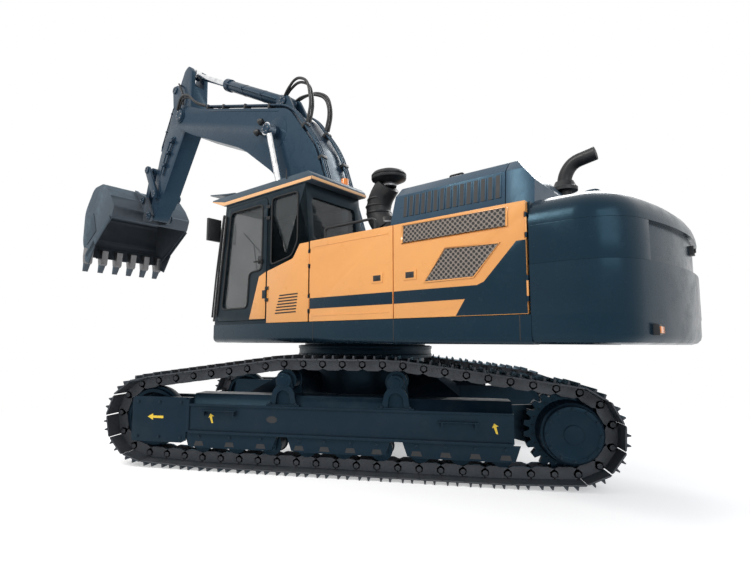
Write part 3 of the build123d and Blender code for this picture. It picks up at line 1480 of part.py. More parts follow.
def bucket():
    """Welded bucket shell with ears, lip, teeth and side cutters."""
    low = BOOM_V - BUCKET_HALF_WIDTH
    high = BOOM_V + BUCKET_HALF_WIDTH
    body = slab(bucket_side(0), low, high)
    hollow = slab(bucket_side(BUCKET_PLATE), low + BUCKET_PLATE, high - BUCKET_PLATE)
    mouth = outline((6330 + 60, 4070 + 20), (BUCKET_TIP[0] - 190, BUCKET_TIP[1] + 330), (BUCKET_TIP[0] - 500, BUCKET_TIP[1] + 100), (6200, 3800))
    body = body - hollow - slab(mouth, low + BUCKET_PLATE, high - BUCKET_PLATE)
    ear = outline(
        (BUCKET_PIN[0] - 110, BUCKET_PIN[1] - 20, 90),
        (BUCKET_PIN[0] + 10, BUCKET_PIN[1] - 120, 90),
        (6360, 4075),
        (6420, 4300),
        (6560, 4500),
        (6760, 4760),
        (6740, 4890),
        (BUCKET_LINK_PIN[0] + 60, BUCKET_LINK_PIN[1] + 130, 80),
        (BUCKET_LINK_PIN[0] - 110, BUCKET_LINK_PIN[1] + 60, 80),
    )
    for place in (-1, 1):
        inner = BOOM_V + place * BUCKET_EAR_IN
        outer = BOOM_V + place * BUCKET_EAR_OUT
        ear_plate = slab(ear, min(inner, outer), max(inner, outer))
        ear_plate = ear_plate - hollow - slab(mouth, low + BUCKET_PLATE, high - BUCKET_PLATE)
        body = body + ear_plate
    body = body + cross_pin(BUCKET_PIN, PIN_RADIUS, BOOM_V - BUCKET_EAR_OUT - 20, BOOM_V + BUCKET_EAR_OUT + 20)
    body = body + cross_pin(BUCKET_LINK_PIN, PIN_RADIUS - 10, BOOM_V - BUCKET_EAR_OUT - 20, BOOM_V + BUCKET_EAR_OUT + 20)
    tooth = outline(
        (BUCKET_TIP[0] - 230, BUCKET_TIP[1] + 470),
        (BUCKET_TIP[0] - 190, BUCKET_TIP[1] + 210, 20),
        (BUCKET_TIP[0] - 15, BUCKET_TIP[1] + 0),
        (BUCKET_TIP[0] + 15, BUCKET_TIP[1] + 5),
        (BUCKET_TIP[0] - 30, BUCKET_TIP[1] + 330, 30),
        (BUCKET_TIP[0] - 60, BUCKET_TIP[1] + 520),
    )
    width = 110
    span = 2 * BUCKET_HALF_WIDTH - width
    for k in range(TOOTH_ROWS):
        v = low + width / 2 + span * k / (TOOTH_ROWS - 1)
        body = body + slab(tooth, v - width / 2, v + width / 2)
    return body


def export(name, shape, on_house=True):
    """Writes one piece, swung with the house where it rides on it."""
    if on_house:
        shape = Rot(0, 0, -SWING_ANGLE) * shape
    if isinstance(shape, (list, ShapeList)):
        shape = Compound(list(shape))
    export_step(shape, f"parts/{name}.step")


def main():
    export("centre_frame", centre_frame(), False)
    export("frame_legs", frame_legs(), False)
    export("swing_bearing", swing_bearing(), False)
    for name, side in (("left", 1), ("right", -1)):
        export(f"track_frame_{name}", track_frame(side), False)
        export(f"track_{name}", track(side), False)
        export(f"idler_{name}", idler(side), False)
        export(f"sprocket_{name}", sprocket(side), False)
        export(f"rollers_{name}", rollers(side), False)
        export(f"boom_cylinder_barrel_{name}", boom_barrel(side))
        export(f"boom_cylinder_rod_{name}", boom_rod(side))
    export("revolving_frame", revolving_frame())
    export("boom_brackets", boom_brackets())
    export("machinery_frame", machinery_frame())
    export("counterweight", counterweight())
    export("engine_block", engine_block())
    export("engine_hood", engine_hood())
    export("rear_cowl", rear_cowl())
    export("exhaust_stack", exhaust_stack())
    export("precleaner", precleaner())
    export("fuel_tank", fuel_tank())
    export("hydraulic_tank", hydraulic_tank())
    export("storage_box", storage_box())
    export("left_front_door", left_front_door())
    export("left_rear_door", left_rear_door())
    export("right_rear_door", right_rear_door())
    export("cab_shell", cab_shell())
    export("cab_lower_panel", cab_lower_panel())
    export("cab_roof", cab_roof())
    export("cab_glass", cab_glass())
    export("cab_door", cab_door())
    export("cab_door_glass", cab_door_glass())
    export("cab_door_hinges", Compound([p for piece in cab_door_hinges() for p in piece.solids()]))
    export("cab_interior", cab_interior())
    export("mirrors", mirrors())
    export("handrails", handrails())
    export("beacon", beacon())
    export("boom", boom())
    export("arm", arm())
    export("arm_cylinder_barrel", arm_barrel())
    export("arm_cylinder_rod", arm_rod())
    export("bucket_cylinder_barrel", bucket_barrel())
    export("bucket_cylinder_rod", bucket_rod())
    export("rockers", rockers())
    export("push_link", push_link())
    export("bucket", bucket())


if __name__ == "__main__":
    main()
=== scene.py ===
import json
from math import acos, atan2, cos, hypot, pi, radians, sin, sqrt

import bmesh
import bpy
from mathutils import Matrix, Vector

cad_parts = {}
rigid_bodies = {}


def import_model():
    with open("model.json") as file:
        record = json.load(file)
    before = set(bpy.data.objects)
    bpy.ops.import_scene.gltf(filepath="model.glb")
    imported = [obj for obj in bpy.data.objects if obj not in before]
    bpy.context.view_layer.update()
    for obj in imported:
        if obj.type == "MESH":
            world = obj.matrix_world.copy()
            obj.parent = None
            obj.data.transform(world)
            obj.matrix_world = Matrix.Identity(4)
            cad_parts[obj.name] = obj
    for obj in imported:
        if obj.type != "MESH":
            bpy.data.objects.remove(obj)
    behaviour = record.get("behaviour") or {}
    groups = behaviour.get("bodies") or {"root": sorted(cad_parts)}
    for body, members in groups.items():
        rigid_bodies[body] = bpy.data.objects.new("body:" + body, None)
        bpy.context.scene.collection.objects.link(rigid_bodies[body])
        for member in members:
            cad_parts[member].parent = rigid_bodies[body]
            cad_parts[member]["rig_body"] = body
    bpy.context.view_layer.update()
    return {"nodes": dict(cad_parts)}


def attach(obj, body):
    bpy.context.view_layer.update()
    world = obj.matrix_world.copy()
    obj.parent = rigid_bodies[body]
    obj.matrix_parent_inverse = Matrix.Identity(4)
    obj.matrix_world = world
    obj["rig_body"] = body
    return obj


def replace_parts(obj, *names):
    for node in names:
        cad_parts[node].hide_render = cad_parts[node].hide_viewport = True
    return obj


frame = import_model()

scene = bpy.context.scene
SWING = radians(30.5)
SIDES = (1, -1)

# Places: the house is drawn straight ahead, then swung to the right.


def straight(u, v, z):
    return Vector((v, -u, z))


def swung(u, v, z):
    c = cos(SWING)
    s = sin(SWING)
    return Vector((v * c - u * s, -v * s - u * c, z))


# Materials


def material(name):
    mat = bpy.data.materials.new(name)
    mat.use_nodes = True
    tree = mat.node_tree
    return mat, tree, tree.nodes["Principled BSDF"]


def add(tree, kind, **values):
    node = tree.nodes.new(kind)
    for key, value in values.items():
        if key in node.inputs:
            node.inputs[key].default_value = value
        else:
            setattr(node, key, value)
    return node


def link(tree, source, target):
    tree.links.new(source, target)


def ramp(tree, source, low, high, first=(0, 0, 0, 1), last=(1, 1, 1, 1)):
    node = tree.nodes.new("ShaderNodeValToRGB")
    node.color_ramp.elements[0].position = low
    node.color_ramp.elements[1].position = high
    node.color_ramp.elements[0].color = first
    node.color_ramp.elements[1].color = last
    link(tree, source, node.inputs["Fac"])
    return node.outputs["Color"]


def mix(tree, factor, base, over):
    """Lays a colour over a base, by a factor that varies over the surface."""
    node = tree.nodes.new("ShaderNodeMix")
    node.data_type = "RGBA"
    link(tree, factor, node.inputs[0])
    link(tree, base, node.inputs[6])
    node.inputs[7].default_value = over
    return node.outputs[2]


def tune(node, **values):
    """Sets inputs by name, with _ for a space."""
    for name, value in values.items():
        node.inputs[name.replace("_", " ")].default_value = value


def object_place(tree):
    return add(tree, "ShaderNodeTexCoord").outputs["Object"]


def noise(tree, place, **values):
    node = add(tree, "ShaderNodeTexNoise", **values)
    link(tree, place, node.inputs["Vector"])
    return node.outputs["Fac"]


def bump(tree, shader, height, strength, distance=0.01):
    node = add(tree, "ShaderNodeBump", Strength=strength, Distance=distance)
    link(tree, height, node.inputs["Height"])
    link(tree, node.outputs["Normal"], shader.inputs["Normal"])


def shade(colour, factor=1.0, lift=0.0):
    """An opaque colour, made darker or lighter."""
    return tuple(min(1, c * factor + lift) for c in colour) + (1,)


def grey(level):
    return (level, level, level, 1)


def rub(tree, base, last, amount, pale):
    """The base colour with its sharp edges rubbed to a paler one."""
    edge = add(tree, "ShaderNodeNewGeometry").outputs["Pointiness"]
    return mix(tree, ramp(tree, edge, 0.52, last, grey(0), grey(amount)), base, pale)


WHITE = (1, 1, 1, 1)
SLATE_GLOSS = (0.36, 0.74, 1.0, 1)


def paint(
    name, colour, rough=0.38, tint=0.1, dust=0.1, dust_colour=(0.3, 0.27, 0.23), coat=0.3, wear=0.25,
    specular=0.32, gloss=WHITE,
):
    """Machine paint: slow colour drift, fine orange peel, dust in patches and rubbed edges."""
    mat, tree, shader = material(name)
    place = object_place(tree)
    drift = noise(tree, place, Scale=1.7, Detail=5.0, Roughness=0.6)
    base = ramp(tree, drift, 0.3, 0.7, shade(colour, 1 - tint), shade(colour, 1 + tint))
    patches = noise(tree, place, Scale=6.0, Detail=8.0, Roughness=0.7)
    amount = ramp(tree, patches, 0.48, 0.78, grey(0), grey(dust))
    base = mix(tree, amount, base, shade(dust_colour))
    base = rub(tree, base, 0.6, wear, shade(colour, 1.6, 0.05))
    link(tree, base, shader.inputs["Base Color"])
    bump(tree, shader, noise(tree, place, Scale=140.0, Detail=2.0), 0.02)
    roughness = ramp(tree, patches, 0.35, 0.75, grey(rough - 0.05), grey(rough + 0.15))
    link(tree, roughness, shader.inputs["Roughness"])
    tune(shader, Coat_Weight=coat, Coat_Roughness=0.12, Specular_IOR_Level=specular, Specular_Tint=gloss)
    return mat


def steel(
    name, colour, rough=0.45, metallic=0.8, dust=0.4, dust_colour=(0.22, 0.18, 0.14), relief=0.15,
    specular=0.5, gloss=WHITE,
):
    """Bare or worn steel with dirt settled in it."""
    mat, tree, shader = material(name)
    place = object_place(tree)
    drift = noise(tree, place, Scale=7.0, Detail=8.0, Roughness=0.65)
    base = ramp(tree, drift, 0.3, 0.7, shade(colour, 0.7), shade(colour, 1.25))
    amount = ramp(tree, drift, 0.45, 0.7, grey(0), grey(dust))
    base = mix(tree, amount, base, shade(dust_colour))
    base = rub(tree, base, 0.62, 0.6, shade(colour, 2.2, 0.05))
    link(tree, base, shader.inputs["Base Color"])
    bump(tree, shader, noise(tree, place, Scale=60.0, Detail=4.0), relief)
    roughness = ramp(tree, drift, 0.3, 0.75, grey(rough - 0.1), grey(rough + 0.25))
    link(tree, roughness, shader.inputs["Roughness"])
    tune(shader, Metallic=metallic, Specular_IOR_Level=specular, Specular_Tint=gloss)
    return mat


def mesh_screen(name, colour, hole_shade, cell):
    """Pressed screen with rows of round holes, drawn as near-black dots of painted shade with a bump, not cut
    through.
    """
    mat, tree, shader = material(name)
    cells = add(tree, "ShaderNodeTexVoronoi", Scale=1 / cell, Randomness=0.0)
    turned = add(tree, "ShaderNodeMapping")
    tune(turned, Rotation=(0, 0, SWING))
    squash = add(tree, "ShaderNodeMapping")
    tune(squash, Scale=(0.02, 1.0, 1.0), Rotation=(radians(45), 0, 0))
    link(tree, object_place(tree), turned.inputs["Vector"])
    link(tree, turned.outputs["Vector"], squash.inputs["Vector"])
    link(tree, squash.outputs["Vector"], cells.inputs["Vector"])
    holes = ramp(tree, cells.outputs["Distance"], 0.36, 0.46, shade(hole_shade), shade(colour))
    link(tree, holes, shader.inputs["Base Color"])
    bump(tree, shader, ramp(tree, cells.outputs["Distance"], 0.3, 0.46), 0.6)
    tune(shader, Roughness=0.5)
    return mat


def glass(name, colour, alpha):
    """Tinted glass with a faint film of dust."""
    mat, tree, shader = material(name)
    film = noise(tree, object_place(tree), Scale=3.0, Detail=6.0)
    base = ramp(tree, film, 0.3, 0.7, shade(colour, 0.8), shade(colour))
    link(tree, base, shader.inputs["Base Color"])
    veil = ramp(tree, film, 0.3, 0.8, grey(alpha), grey(alpha + 0.12))
    link(tree, veil, shader.inputs["Alpha"])
    tune(shader, Roughness=0.04, Specular_IOR_Level=0.7)
    return mat


def rubber(name, colour, rough, relief=0.1):
    mat, tree, shader = material(name)
    grain = noise(tree, object_place(tree), Scale=35.0, Detail=5.0)
    base = ramp(tree, grain, 0.3, 0.75, shade(colour, 0.75), shade(colour, 1.4))
    link(tree, base, shader.inputs["Base Color"])
    bump(tree, shader, grain, relief, 0.004)
    tune(shader, Roughness=rough)
    return mat


def slate(name, colour, rough, tint, dust, wear, specular):
    """Dark blue paint that reflects the studio in blue and has no clear coat."""
    return paint(name, colour, rough, tint, dust, coat=0.0, wear=wear, specular=specular, gloss=SLATE_GLOSS)


BODY = slate("body_slate", (0.005, 0.015, 0.026), 0.22, 0.06, 0.006, 0.1, 0.3)
# The hood's slate is a lighter copy of the body's: painted light for the machine's top, where it catches the
# light.
HOOD_LIT_SLATE = slate("hood_slate_lit", (0.034, 0.06, 0.092), 0.28, 0.06, 0.02, 0.12, 0.34)
BOOM = slate("boom_slate", (0.0145, 0.031, 0.054), 0.28, 0.08, 0.012, 0.15, 0.32)
FRAME = slate("frame_slate", (0.0058, 0.0135, 0.0235), 0.34, 0.15, 0.03, 0.15, 0.22)
ROOF = slate("roof_grey", (0.055, 0.075, 0.095), 0.34, 0.08, 0.08, 0.25, 0.3)
CAB = slate("cab_dark", (0.006, 0.011, 0.015), 0.34, 0.1, 0.05, 0.25, 0.25)
ORANGE = paint("panel_orange", (0.8, 0.35, 0.095), 0.3, 0.04, 0.03, (0.55, 0.36, 0.22), 0.6, 0.1)
CREAM = paint("roof_band", (0.86, 0.45, 0.2), rough=0.32, tint=0.04, dust=0.04, coat=0.5)
BLACK = paint("trim_black", (0.01, 0.011, 0.013), rough=0.5, tint=0.2, dust=0.1, coat=0.1)
AMBER = paint("amber_lens", (0.9, 0.24, 0.02), rough=0.2, tint=0.05, dust=0.0, coat=0.8)
YELLOW = paint("mark_yellow", (0.85, 0.52, 0.03), rough=0.4, tint=0.05, dust=0.05)
TRACK = steel(
    "track_steel", (0.035, 0.037, 0.042), rough=0.5, metallic=0.6, dust=0.25,
    dust_colour=(0.05, 0.045, 0.042), specular=0.18, gloss=SLATE_GLOSS,
)
BUCKET = steel(
    "bucket_steel", (0.03, 0.036, 0.045), rough=0.38, metallic=0.35, dust=0.15,
    dust_colour=(0.06, 0.055, 0.05), relief=0.08, specular=0.25, gloss=SLATE_GLOSS,
)
WORN = steel("worn_steel", (0.16, 0.16, 0.165), 0.4, 0.9, 0.3, (0.05, 0.045, 0.04))
CHROME = steel("rod_chrome", (0.78, 0.79, 0.8), 0.14, 1.0, 0.02, (0.5, 0.5, 0.5), 0.01)
IRON = steel("engine_iron", (0.09, 0.09, 0.095), rough=0.55, metallic=0.4, dust=0.2)
# The near-black dots are painted shade for the screen's holes.
SCREEN = mesh_screen("screen_holes", (0.24, 0.2, 0.17), (0.012, 0.012, 0.012), 0.034)
GLASS = glass("cab_glass_tint", (0.05, 0.06, 0.065), 0.42)
LAMP = glass("lamp_lens", (0.75, 0.78, 0.8), 0.85)
HOSE = rubber("hose_rubber", (0.012, 0.012, 0.013), 0.45)
SEAL = rubber("seal_rubber", (0.01, 0.01, 0.011), 0.7)
SEAT = rubber("seat_cloth", (0.03, 0.03, 0.034), 0.85, relief=0.4)

# Mesh making


def turns(count, phase=0.0):
    """Evenly spaced angles of a full circle."""
    return [2 * pi * (k + phase) / count for k in range(count)]


def arc(u, z, radius, angles):
    """The points of a circle at the given angles."""
    return [(u + radius * cos(a), z + radius * sin(a)) for a in angles]


def level(v, points):
    """Points of a side view as places at one v."""
    return [(u, v, z) for u, z in points]


def spread(base, side, a, b):
    """The v range between a and b, measured outwards from a plane at base."""
    return sorted((base + side * a, base + side * b))


def round_ring(centre, aside, other, radius, count):
    return [tuple(centre + (aside * cos(a) + other * sin(a)) * radius) for a in turns(count)]


class Piece:
    """A mesh made of simple solids and sweeps, in metres, in (forward, left, up) places."""

    def __init__(self, name, body, mat, slot_name, place=swung):
        self.name = name
        self.body = body
        self.mat = mat
        self.slot_name = slot_name
        self.place = place
        self.bm = bmesh.new()

    def hull(self, rings):
        """Skins a list of rings of (u, v, z) points and closes both ends."""
        rows = [[self.bm.verts.new(self.place(*p)) for p in ring] for ring in rings]
        for a, b in zip(rows, rows[1:]):
            n = len(a)
            for i in range(n):
                self.bm.faces.new((a[i], a[(i + 1) % n], b[(i + 1) % n], b[i]))
        self.bm.faces.new(rows[0])
        self.bm.faces.new(list(reversed(rows[-1])))

    def side(self, points, v0, v1):
        self.hull([level(v, points) for v in (v0, v1)])

    def top(self, points, z0, z1):
        self.hull([[(u, v, z) for u, v in points] for z in (z0, z1)])

    def front(self, points, u0, u1):
        self.hull([[(u, v, z) for v, z in points] for u in (u0, u1)])

    def box(self, u0, u1, v0, v1, z0, z1):
        self.side([(u0, z0), (u1, z0), (u1, z1), (u0, z1)], v0, v1)

    def lathe(self, profile, origin, axis, count=32):
        """Turns (along, radius) points about an axis through origin."""
        axis = Vector(axis).normalized()
        aside = axis.orthogonal().normalized()
        other = axis.cross(aside)
        origin = Vector(origin)
        rings = [round_ring(origin + axis * a, aside, other, max(r, 1e-4), count) for a, r in profile]
        self.hull(rings)

    def bar(self, start, end, radius, count):
        axis = Vector(end) - Vector(start)
        self.lathe([(0, radius), (axis.length, radius)], start, axis, count)

    def bolt(self, at, axis, size, height):
        """Hexagon head on a washer."""
        self.lathe([(0, size * 1.35), (0.003, size * 1.35)], at, axis, 16)
        axis = Vector(axis).normalized()
        self.lathe([(0.003, size), (height, size), (height + 0.002, size * 0.8)], at, axis, 6)

    def tube(self, points, radius, bend, count=12, steps=5):
        """A round tube along points with rounded corners."""
        pts = [Vector(p) for p in points]
        line = [pts[0]]
        for before, here, after in zip(pts, pts[1:], pts[2:]):
            reach = min(bend, (here - before).length * 0.49, (after - here).length * 0.49)
            first = here + (before - here).normalized() * reach
            last = here + (after - here).normalized() * reach
            for k in range(steps + 1):
                t = k / steps
                line.append(first * (1 - t) ** 2 + here * 2 * t * (1 - t) + last * t * t)
        line.append(pts[-1])
        rings = []
        aside = (line[1] - line[0]).orthogonal().normalized()
        for i, here in enumerate(line):
            ahead = line[min(i + 1, len(line) - 1)] - line[max(i - 1, 0)]
            ahead.normalize()
            aside = (aside - ahead * aside.dot(ahead)).normalized()
            other = ahead.cross(aside)
            rings.append(round_ring(here, aside, other, radius, count))
        self.hull(rings)

    def done(self, bevel=0.0, smooth_angle=38):
        bmesh.ops.remove_doubles(self.bm, verts=self.bm.verts, dist=1e-6)
        bmesh.ops.recalc_face_normals(self.bm, faces=self.bm.faces)
        return finish_mesh(self.name, self.bm, self.mat, self.body, bevel, smooth_angle)


def sharp_edges(bm, angle):
    return [e for e in bm.edges if len(e.link_faces) == 2 and e.calc_face_angle(0) > radians(angle)]


def finish_mesh(name, bm, mat, body, bevel=0.0, smooth_angle=38):
    """Rounds the sharp edges, shades the faces and hangs the mesh on its body."""
    if bevel:
        bmesh.ops.bevel(
            bm, geom=sharp_edges(bm, 30), offset=bevel, segments=2, profile=0.6, affect="EDGES",
            clamp_overlap=True,
        )
    for f in bm.faces:
        f.smooth = True
    for e in sharp_edges(bm, smooth_angle):
        e.smooth = False
    mesh = bpy.data.meshes.new(name)
    bm.to_mesh(mesh)
    bm.free()
    mesh.materials.append(mat)
    obj = bpy.data.objects.new(name, mesh)
    scene.collection.objects.link(obj)
    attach(obj, body)
    return obj


def dress(mat, *nodes):
    """Gives CAD nodes a material as they are."""
    for node in nodes:
        mesh = frame["nodes"][node].data
        mesh.materials.clear()
        mesh.materials.append(mat)


def refine(mat, bevel, *nodes):
    """Cleaned and edge-rounded copies that stand for CAD nodes."""
    for node in nodes:
        source = frame["nodes"][node]
        bm = bmesh.new()
        bm.from_mesh(source.data)
        bmesh.ops.remove_doubles(bm, verts=bm.verts, dist=2e-5)
        bmesh.ops.dissolve_limit(bm, angle_limit=radians(1.2), verts=bm.verts, edges=bm.edges)
        copy = finish_mesh(node + "_skin", bm, mat, source["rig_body"], bevel)
        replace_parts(copy, node)


# Tracks, in metres, on the line of pins that the CAD uses

LINK_PITCH = 0.216
PIN_CIRCLE = 0.4
TREAD_CIRCLE = 0.18
GAUGE = 2.74
WHEEL_U = 2.235
WHEEL_Z = 0.52
CARRIER_U = (0.643, -0.557)
CARRIER_Z = 0.965
ROLLER_U = [1.592 - 0.398 * k for k in range(9)]
ROLLER_Z = 0.275
GROUSER = 0.046
GROUSER_TIP = 0.095
SHOE_TOP = 0.06
SHOE_HALF_WIDTH = 0.3
BELT_CIRCLES = [
    (WHEEL_U, WHEEL_Z, PIN_CIRCLE),
    (CARRIER_U[0], CARRIER_Z, TREAD_CIRCLE),
    (CARRIER_U[1], CARRIER_Z, TREAD_CIRCLE),
    (-WHEEL_U, WHEEL_Z, PIN_CIRCLE),
    (-1.592, ROLLER_Z, TREAD_CIRCLE),
    (1.592, ROLLER_Z, TREAD_CIRCLE),
]


def link_pins():
    """The chain's pins as (u, z) places, evenly spaced around the belt."""
    circles = BELT_CIRCLES
    normals = []
    for here, after in zip(circles, circles[1:] + circles[:1]):
        du = after[0] - here[0]
        dz = after[1] - here[1]
        normals.append(atan2(dz, du) - acos((here[2] - after[2]) / hypot(du, dz)))
    runs = []
    for i, (u, z, radius) in enumerate(circles):
        turn = (normals[i] - normals[i - 1]) % (2 * pi)
        runs.append(("arc", u, z, radius, normals[i - 1], turn * radius))
        after = circles[(i + 1) % len(circles)]
        n = (cos(normals[i]), sin(normals[i]))
        start = (u + radius * n[0], z + radius * n[1])
        end = (after[0] + after[2] * n[0], after[1] + after[2] * n[1])
        runs.append(("line", start, end, 0, 0, hypot(end[0] - start[0], end[1] - start[1])))
    total = sum(run[5] for run in runs)
    count = round(total / LINK_PITCH)
    pins = []
    for k in range(count):
        along = total * k / count
        for kind, a, b, radius, angle, length in runs:
            if along > length:
                along -= length
                continue
            if kind == "arc":
                here = angle + along / radius
                pins.append((a + radius * cos(here), b + radius * sin(here)))
            else:
                t = along / length
                pins.append((a[0] + (b[0] - a[0]) * t, a[1] + (b[1] - a[1]) * t))
            break
    return pins


def track_piece(side):
    """One track: shoes with two grousers, chain links, pins and bolts."""
    name = "left" if side > 0 else "right"
    piece = Piece(f"track_{name}_shoes", "undercarriage", TRACK, "track_steel", straight)
    chain = Piece(f"track_{name}_links", "undercarriage", TRACK, "track_steel", straight)
    pins = link_pins()
    count = len(pins)
    v = side * GAUGE / 2
    for k in range(count):
        u, z = pins[k]
        du = pins[(k + 1) % count][0] - u
        dz = pins[(k + 1) % count][1] - z
        pitch = hypot(du, dz)
        tu, tz = du / pitch, dz / pitch
        nu, nz = tz, -tu

        def at(along, out):
            return (u + tu * along + nu * out, z + tz * along + nz * out)

        half = pitch / 2
        shoe = [
            at(-0.026, 0.05), at(0.004, 0.0455), at(pitch - 0.018, 0.0455), at(pitch - 0.006, 0.05),
            at(pitch - 0.02, 0.059), at(half + GROUSER + 0.012, SHOE_TOP),
            at(half + GROUSER + 0.006, GROUSER_TIP), at(half + GROUSER - 0.006, GROUSER_TIP),
            at(half + GROUSER - 0.014, SHOE_TOP), at(half - GROUSER + 0.014, SHOE_TOP),
            at(half - GROUSER + 0.006, GROUSER_TIP), at(half - GROUSER - 0.006, GROUSER_TIP),
            at(half - GROUSER - 0.014, SHOE_TOP), at(-0.012, SHOE_TOP),
        ]
        piece.side(shoe, v - SHOE_HALF_WIDTH, v + SHOE_HALF_WIDTH)
        for place in (-1, 1):
            middle = v + place * 0.08
            outline = [
                at(0.018, 0.0445), at(pitch - 0.006, 0.0445), at(pitch + 0.036, 0.02),
                at(pitch + 0.04, -0.02), at(pitch + 0.01, -0.044), at(pitch - 0.045, -0.069),
                at(0.055, -0.069), at(-0.008, -0.046), at(-0.038, -0.02), at(-0.034, 0.022),
            ]
            shift = place * 0.006
            chain.side(outline, middle - 0.019 + shift, middle + 0.019 + shift)
            for along in (0.062, 0.148):
                a = at(along, 0.06)
                piece.bolt((a[0], middle, a[1]), (nu, 0, nz), 0.014, 0.014)
            a = at(0, 0)
            chain.bar((a[0], middle + place * 0.012, a[1]), (a[0], middle + place * 0.036, a[1]), 0.026, 14)
        a = at(0, 0)
        chain.bar((a[0], v - 0.062, a[1]), (a[0], v + 0.062, a[1]), 0.033, 14)
    shoes = piece.done()
    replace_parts(shoes, f"track_{name}")
    chain.done(smooth_angle=30)


for side in SIDES:
    track_piece(side)

refine(FRAME, 0.006, "track_frame_left", "track_frame_right", "centre_frame", "frame_legs")
refine(FRAME, 0.003, "rollers_left", "rollers_right", "idler_left", "idler_right")
refine(FRAME, 0.003, "sprocket_left", "sprocket_right", "swing_bearing")
refine(BODY, 0.004, "revolving_frame", "machinery_frame", "boom_brackets")
refine(
    ORANGE, 0.006, "left_front_door", "left_rear_door", "right_rear_door", "cab_lower_panel", "storage_box",
    "fuel_tank", "hydraulic_tank",
)
# Hood and rear cowl take the lighter slate as painted light.
refine(HOOD_LIT_SLATE, 0.01, "engine_hood", "rear_cowl")
refine(BOOM, 0.008, "boom", "arm", "rockers", "push_link")
refine(
    BOOM, 0.003, "boom_cylinder_barrel_left", "boom_cylinder_barrel_right", "arm_cylinder_barrel",
    "bucket_cylinder_barrel",
)
refine(
    CHROME, 0.0, "boom_cylinder_rod_left", "boom_cylinder_rod_right", "arm_cylinder_rod",
    "bucket_cylinder_rod",
)
refine(CAB, 0.006, "cab_shell", "cab_door")
refine(ROOF, 0.01, "cab_roof")
refine(BLACK, 0.003, "mirrors", "handrails", "cab_door_hinges")
refine(SEAT, 0.02, "cab_interior")
refine(IRON, 0.02, "engine_block")
refine(AMBER, 0.004, "beacon")
refine(BUCKET, 0.005, "bucket")
dress(GLASS, "cab_glass", "cab_door_glass")

BOOM_MID = -0.02
BOOM_FOOT = (0.08, 2.03)
BOOM_NOSE = (4.684, 6.028)
BOOM_CYLINDER_BASE = (0.705, 1.6)
BOOM_CYLINDER_EYE = (1.64, 4.77)
ARM_CYLINDER_BASE = (1.65, 5.38)
ARM_CYLINDER_EYE = (4.64, 7.03)
BUCKET_CYLINDER_BASE = (5.17, 6.8)
BUCKET_PIN = (5.975, 4.155)
BUCKET_LINK_PIN = (6.285, 4.56)
ROCKER_PIN = (5.71, 4.58)
ROCKER_JOINT = (6.073, 5.205)


def along(start, end, reach, aside=0.0):
    """The (u, z) point at a reach from start towards end, moved aside to its left."""
    length = hypot(end[0] - start[0], end[1] - start[1])
    du = (end[0] - start[0]) / length
    dz = (end[1] - start[1]) / length
    return (start[0] + du * reach - dz * aside, start[1] + dz * reach + du * aside)


def strap(start, end, reach, width, low, high):
    """The four corners of a strap laid across a line from start towards end."""
    ends = (reach, reach + width)
    return [along(start, end, r, low) for r in ends] + [along(start, end, r, high) for r in ends[::-1]]


# Undercarriage trim

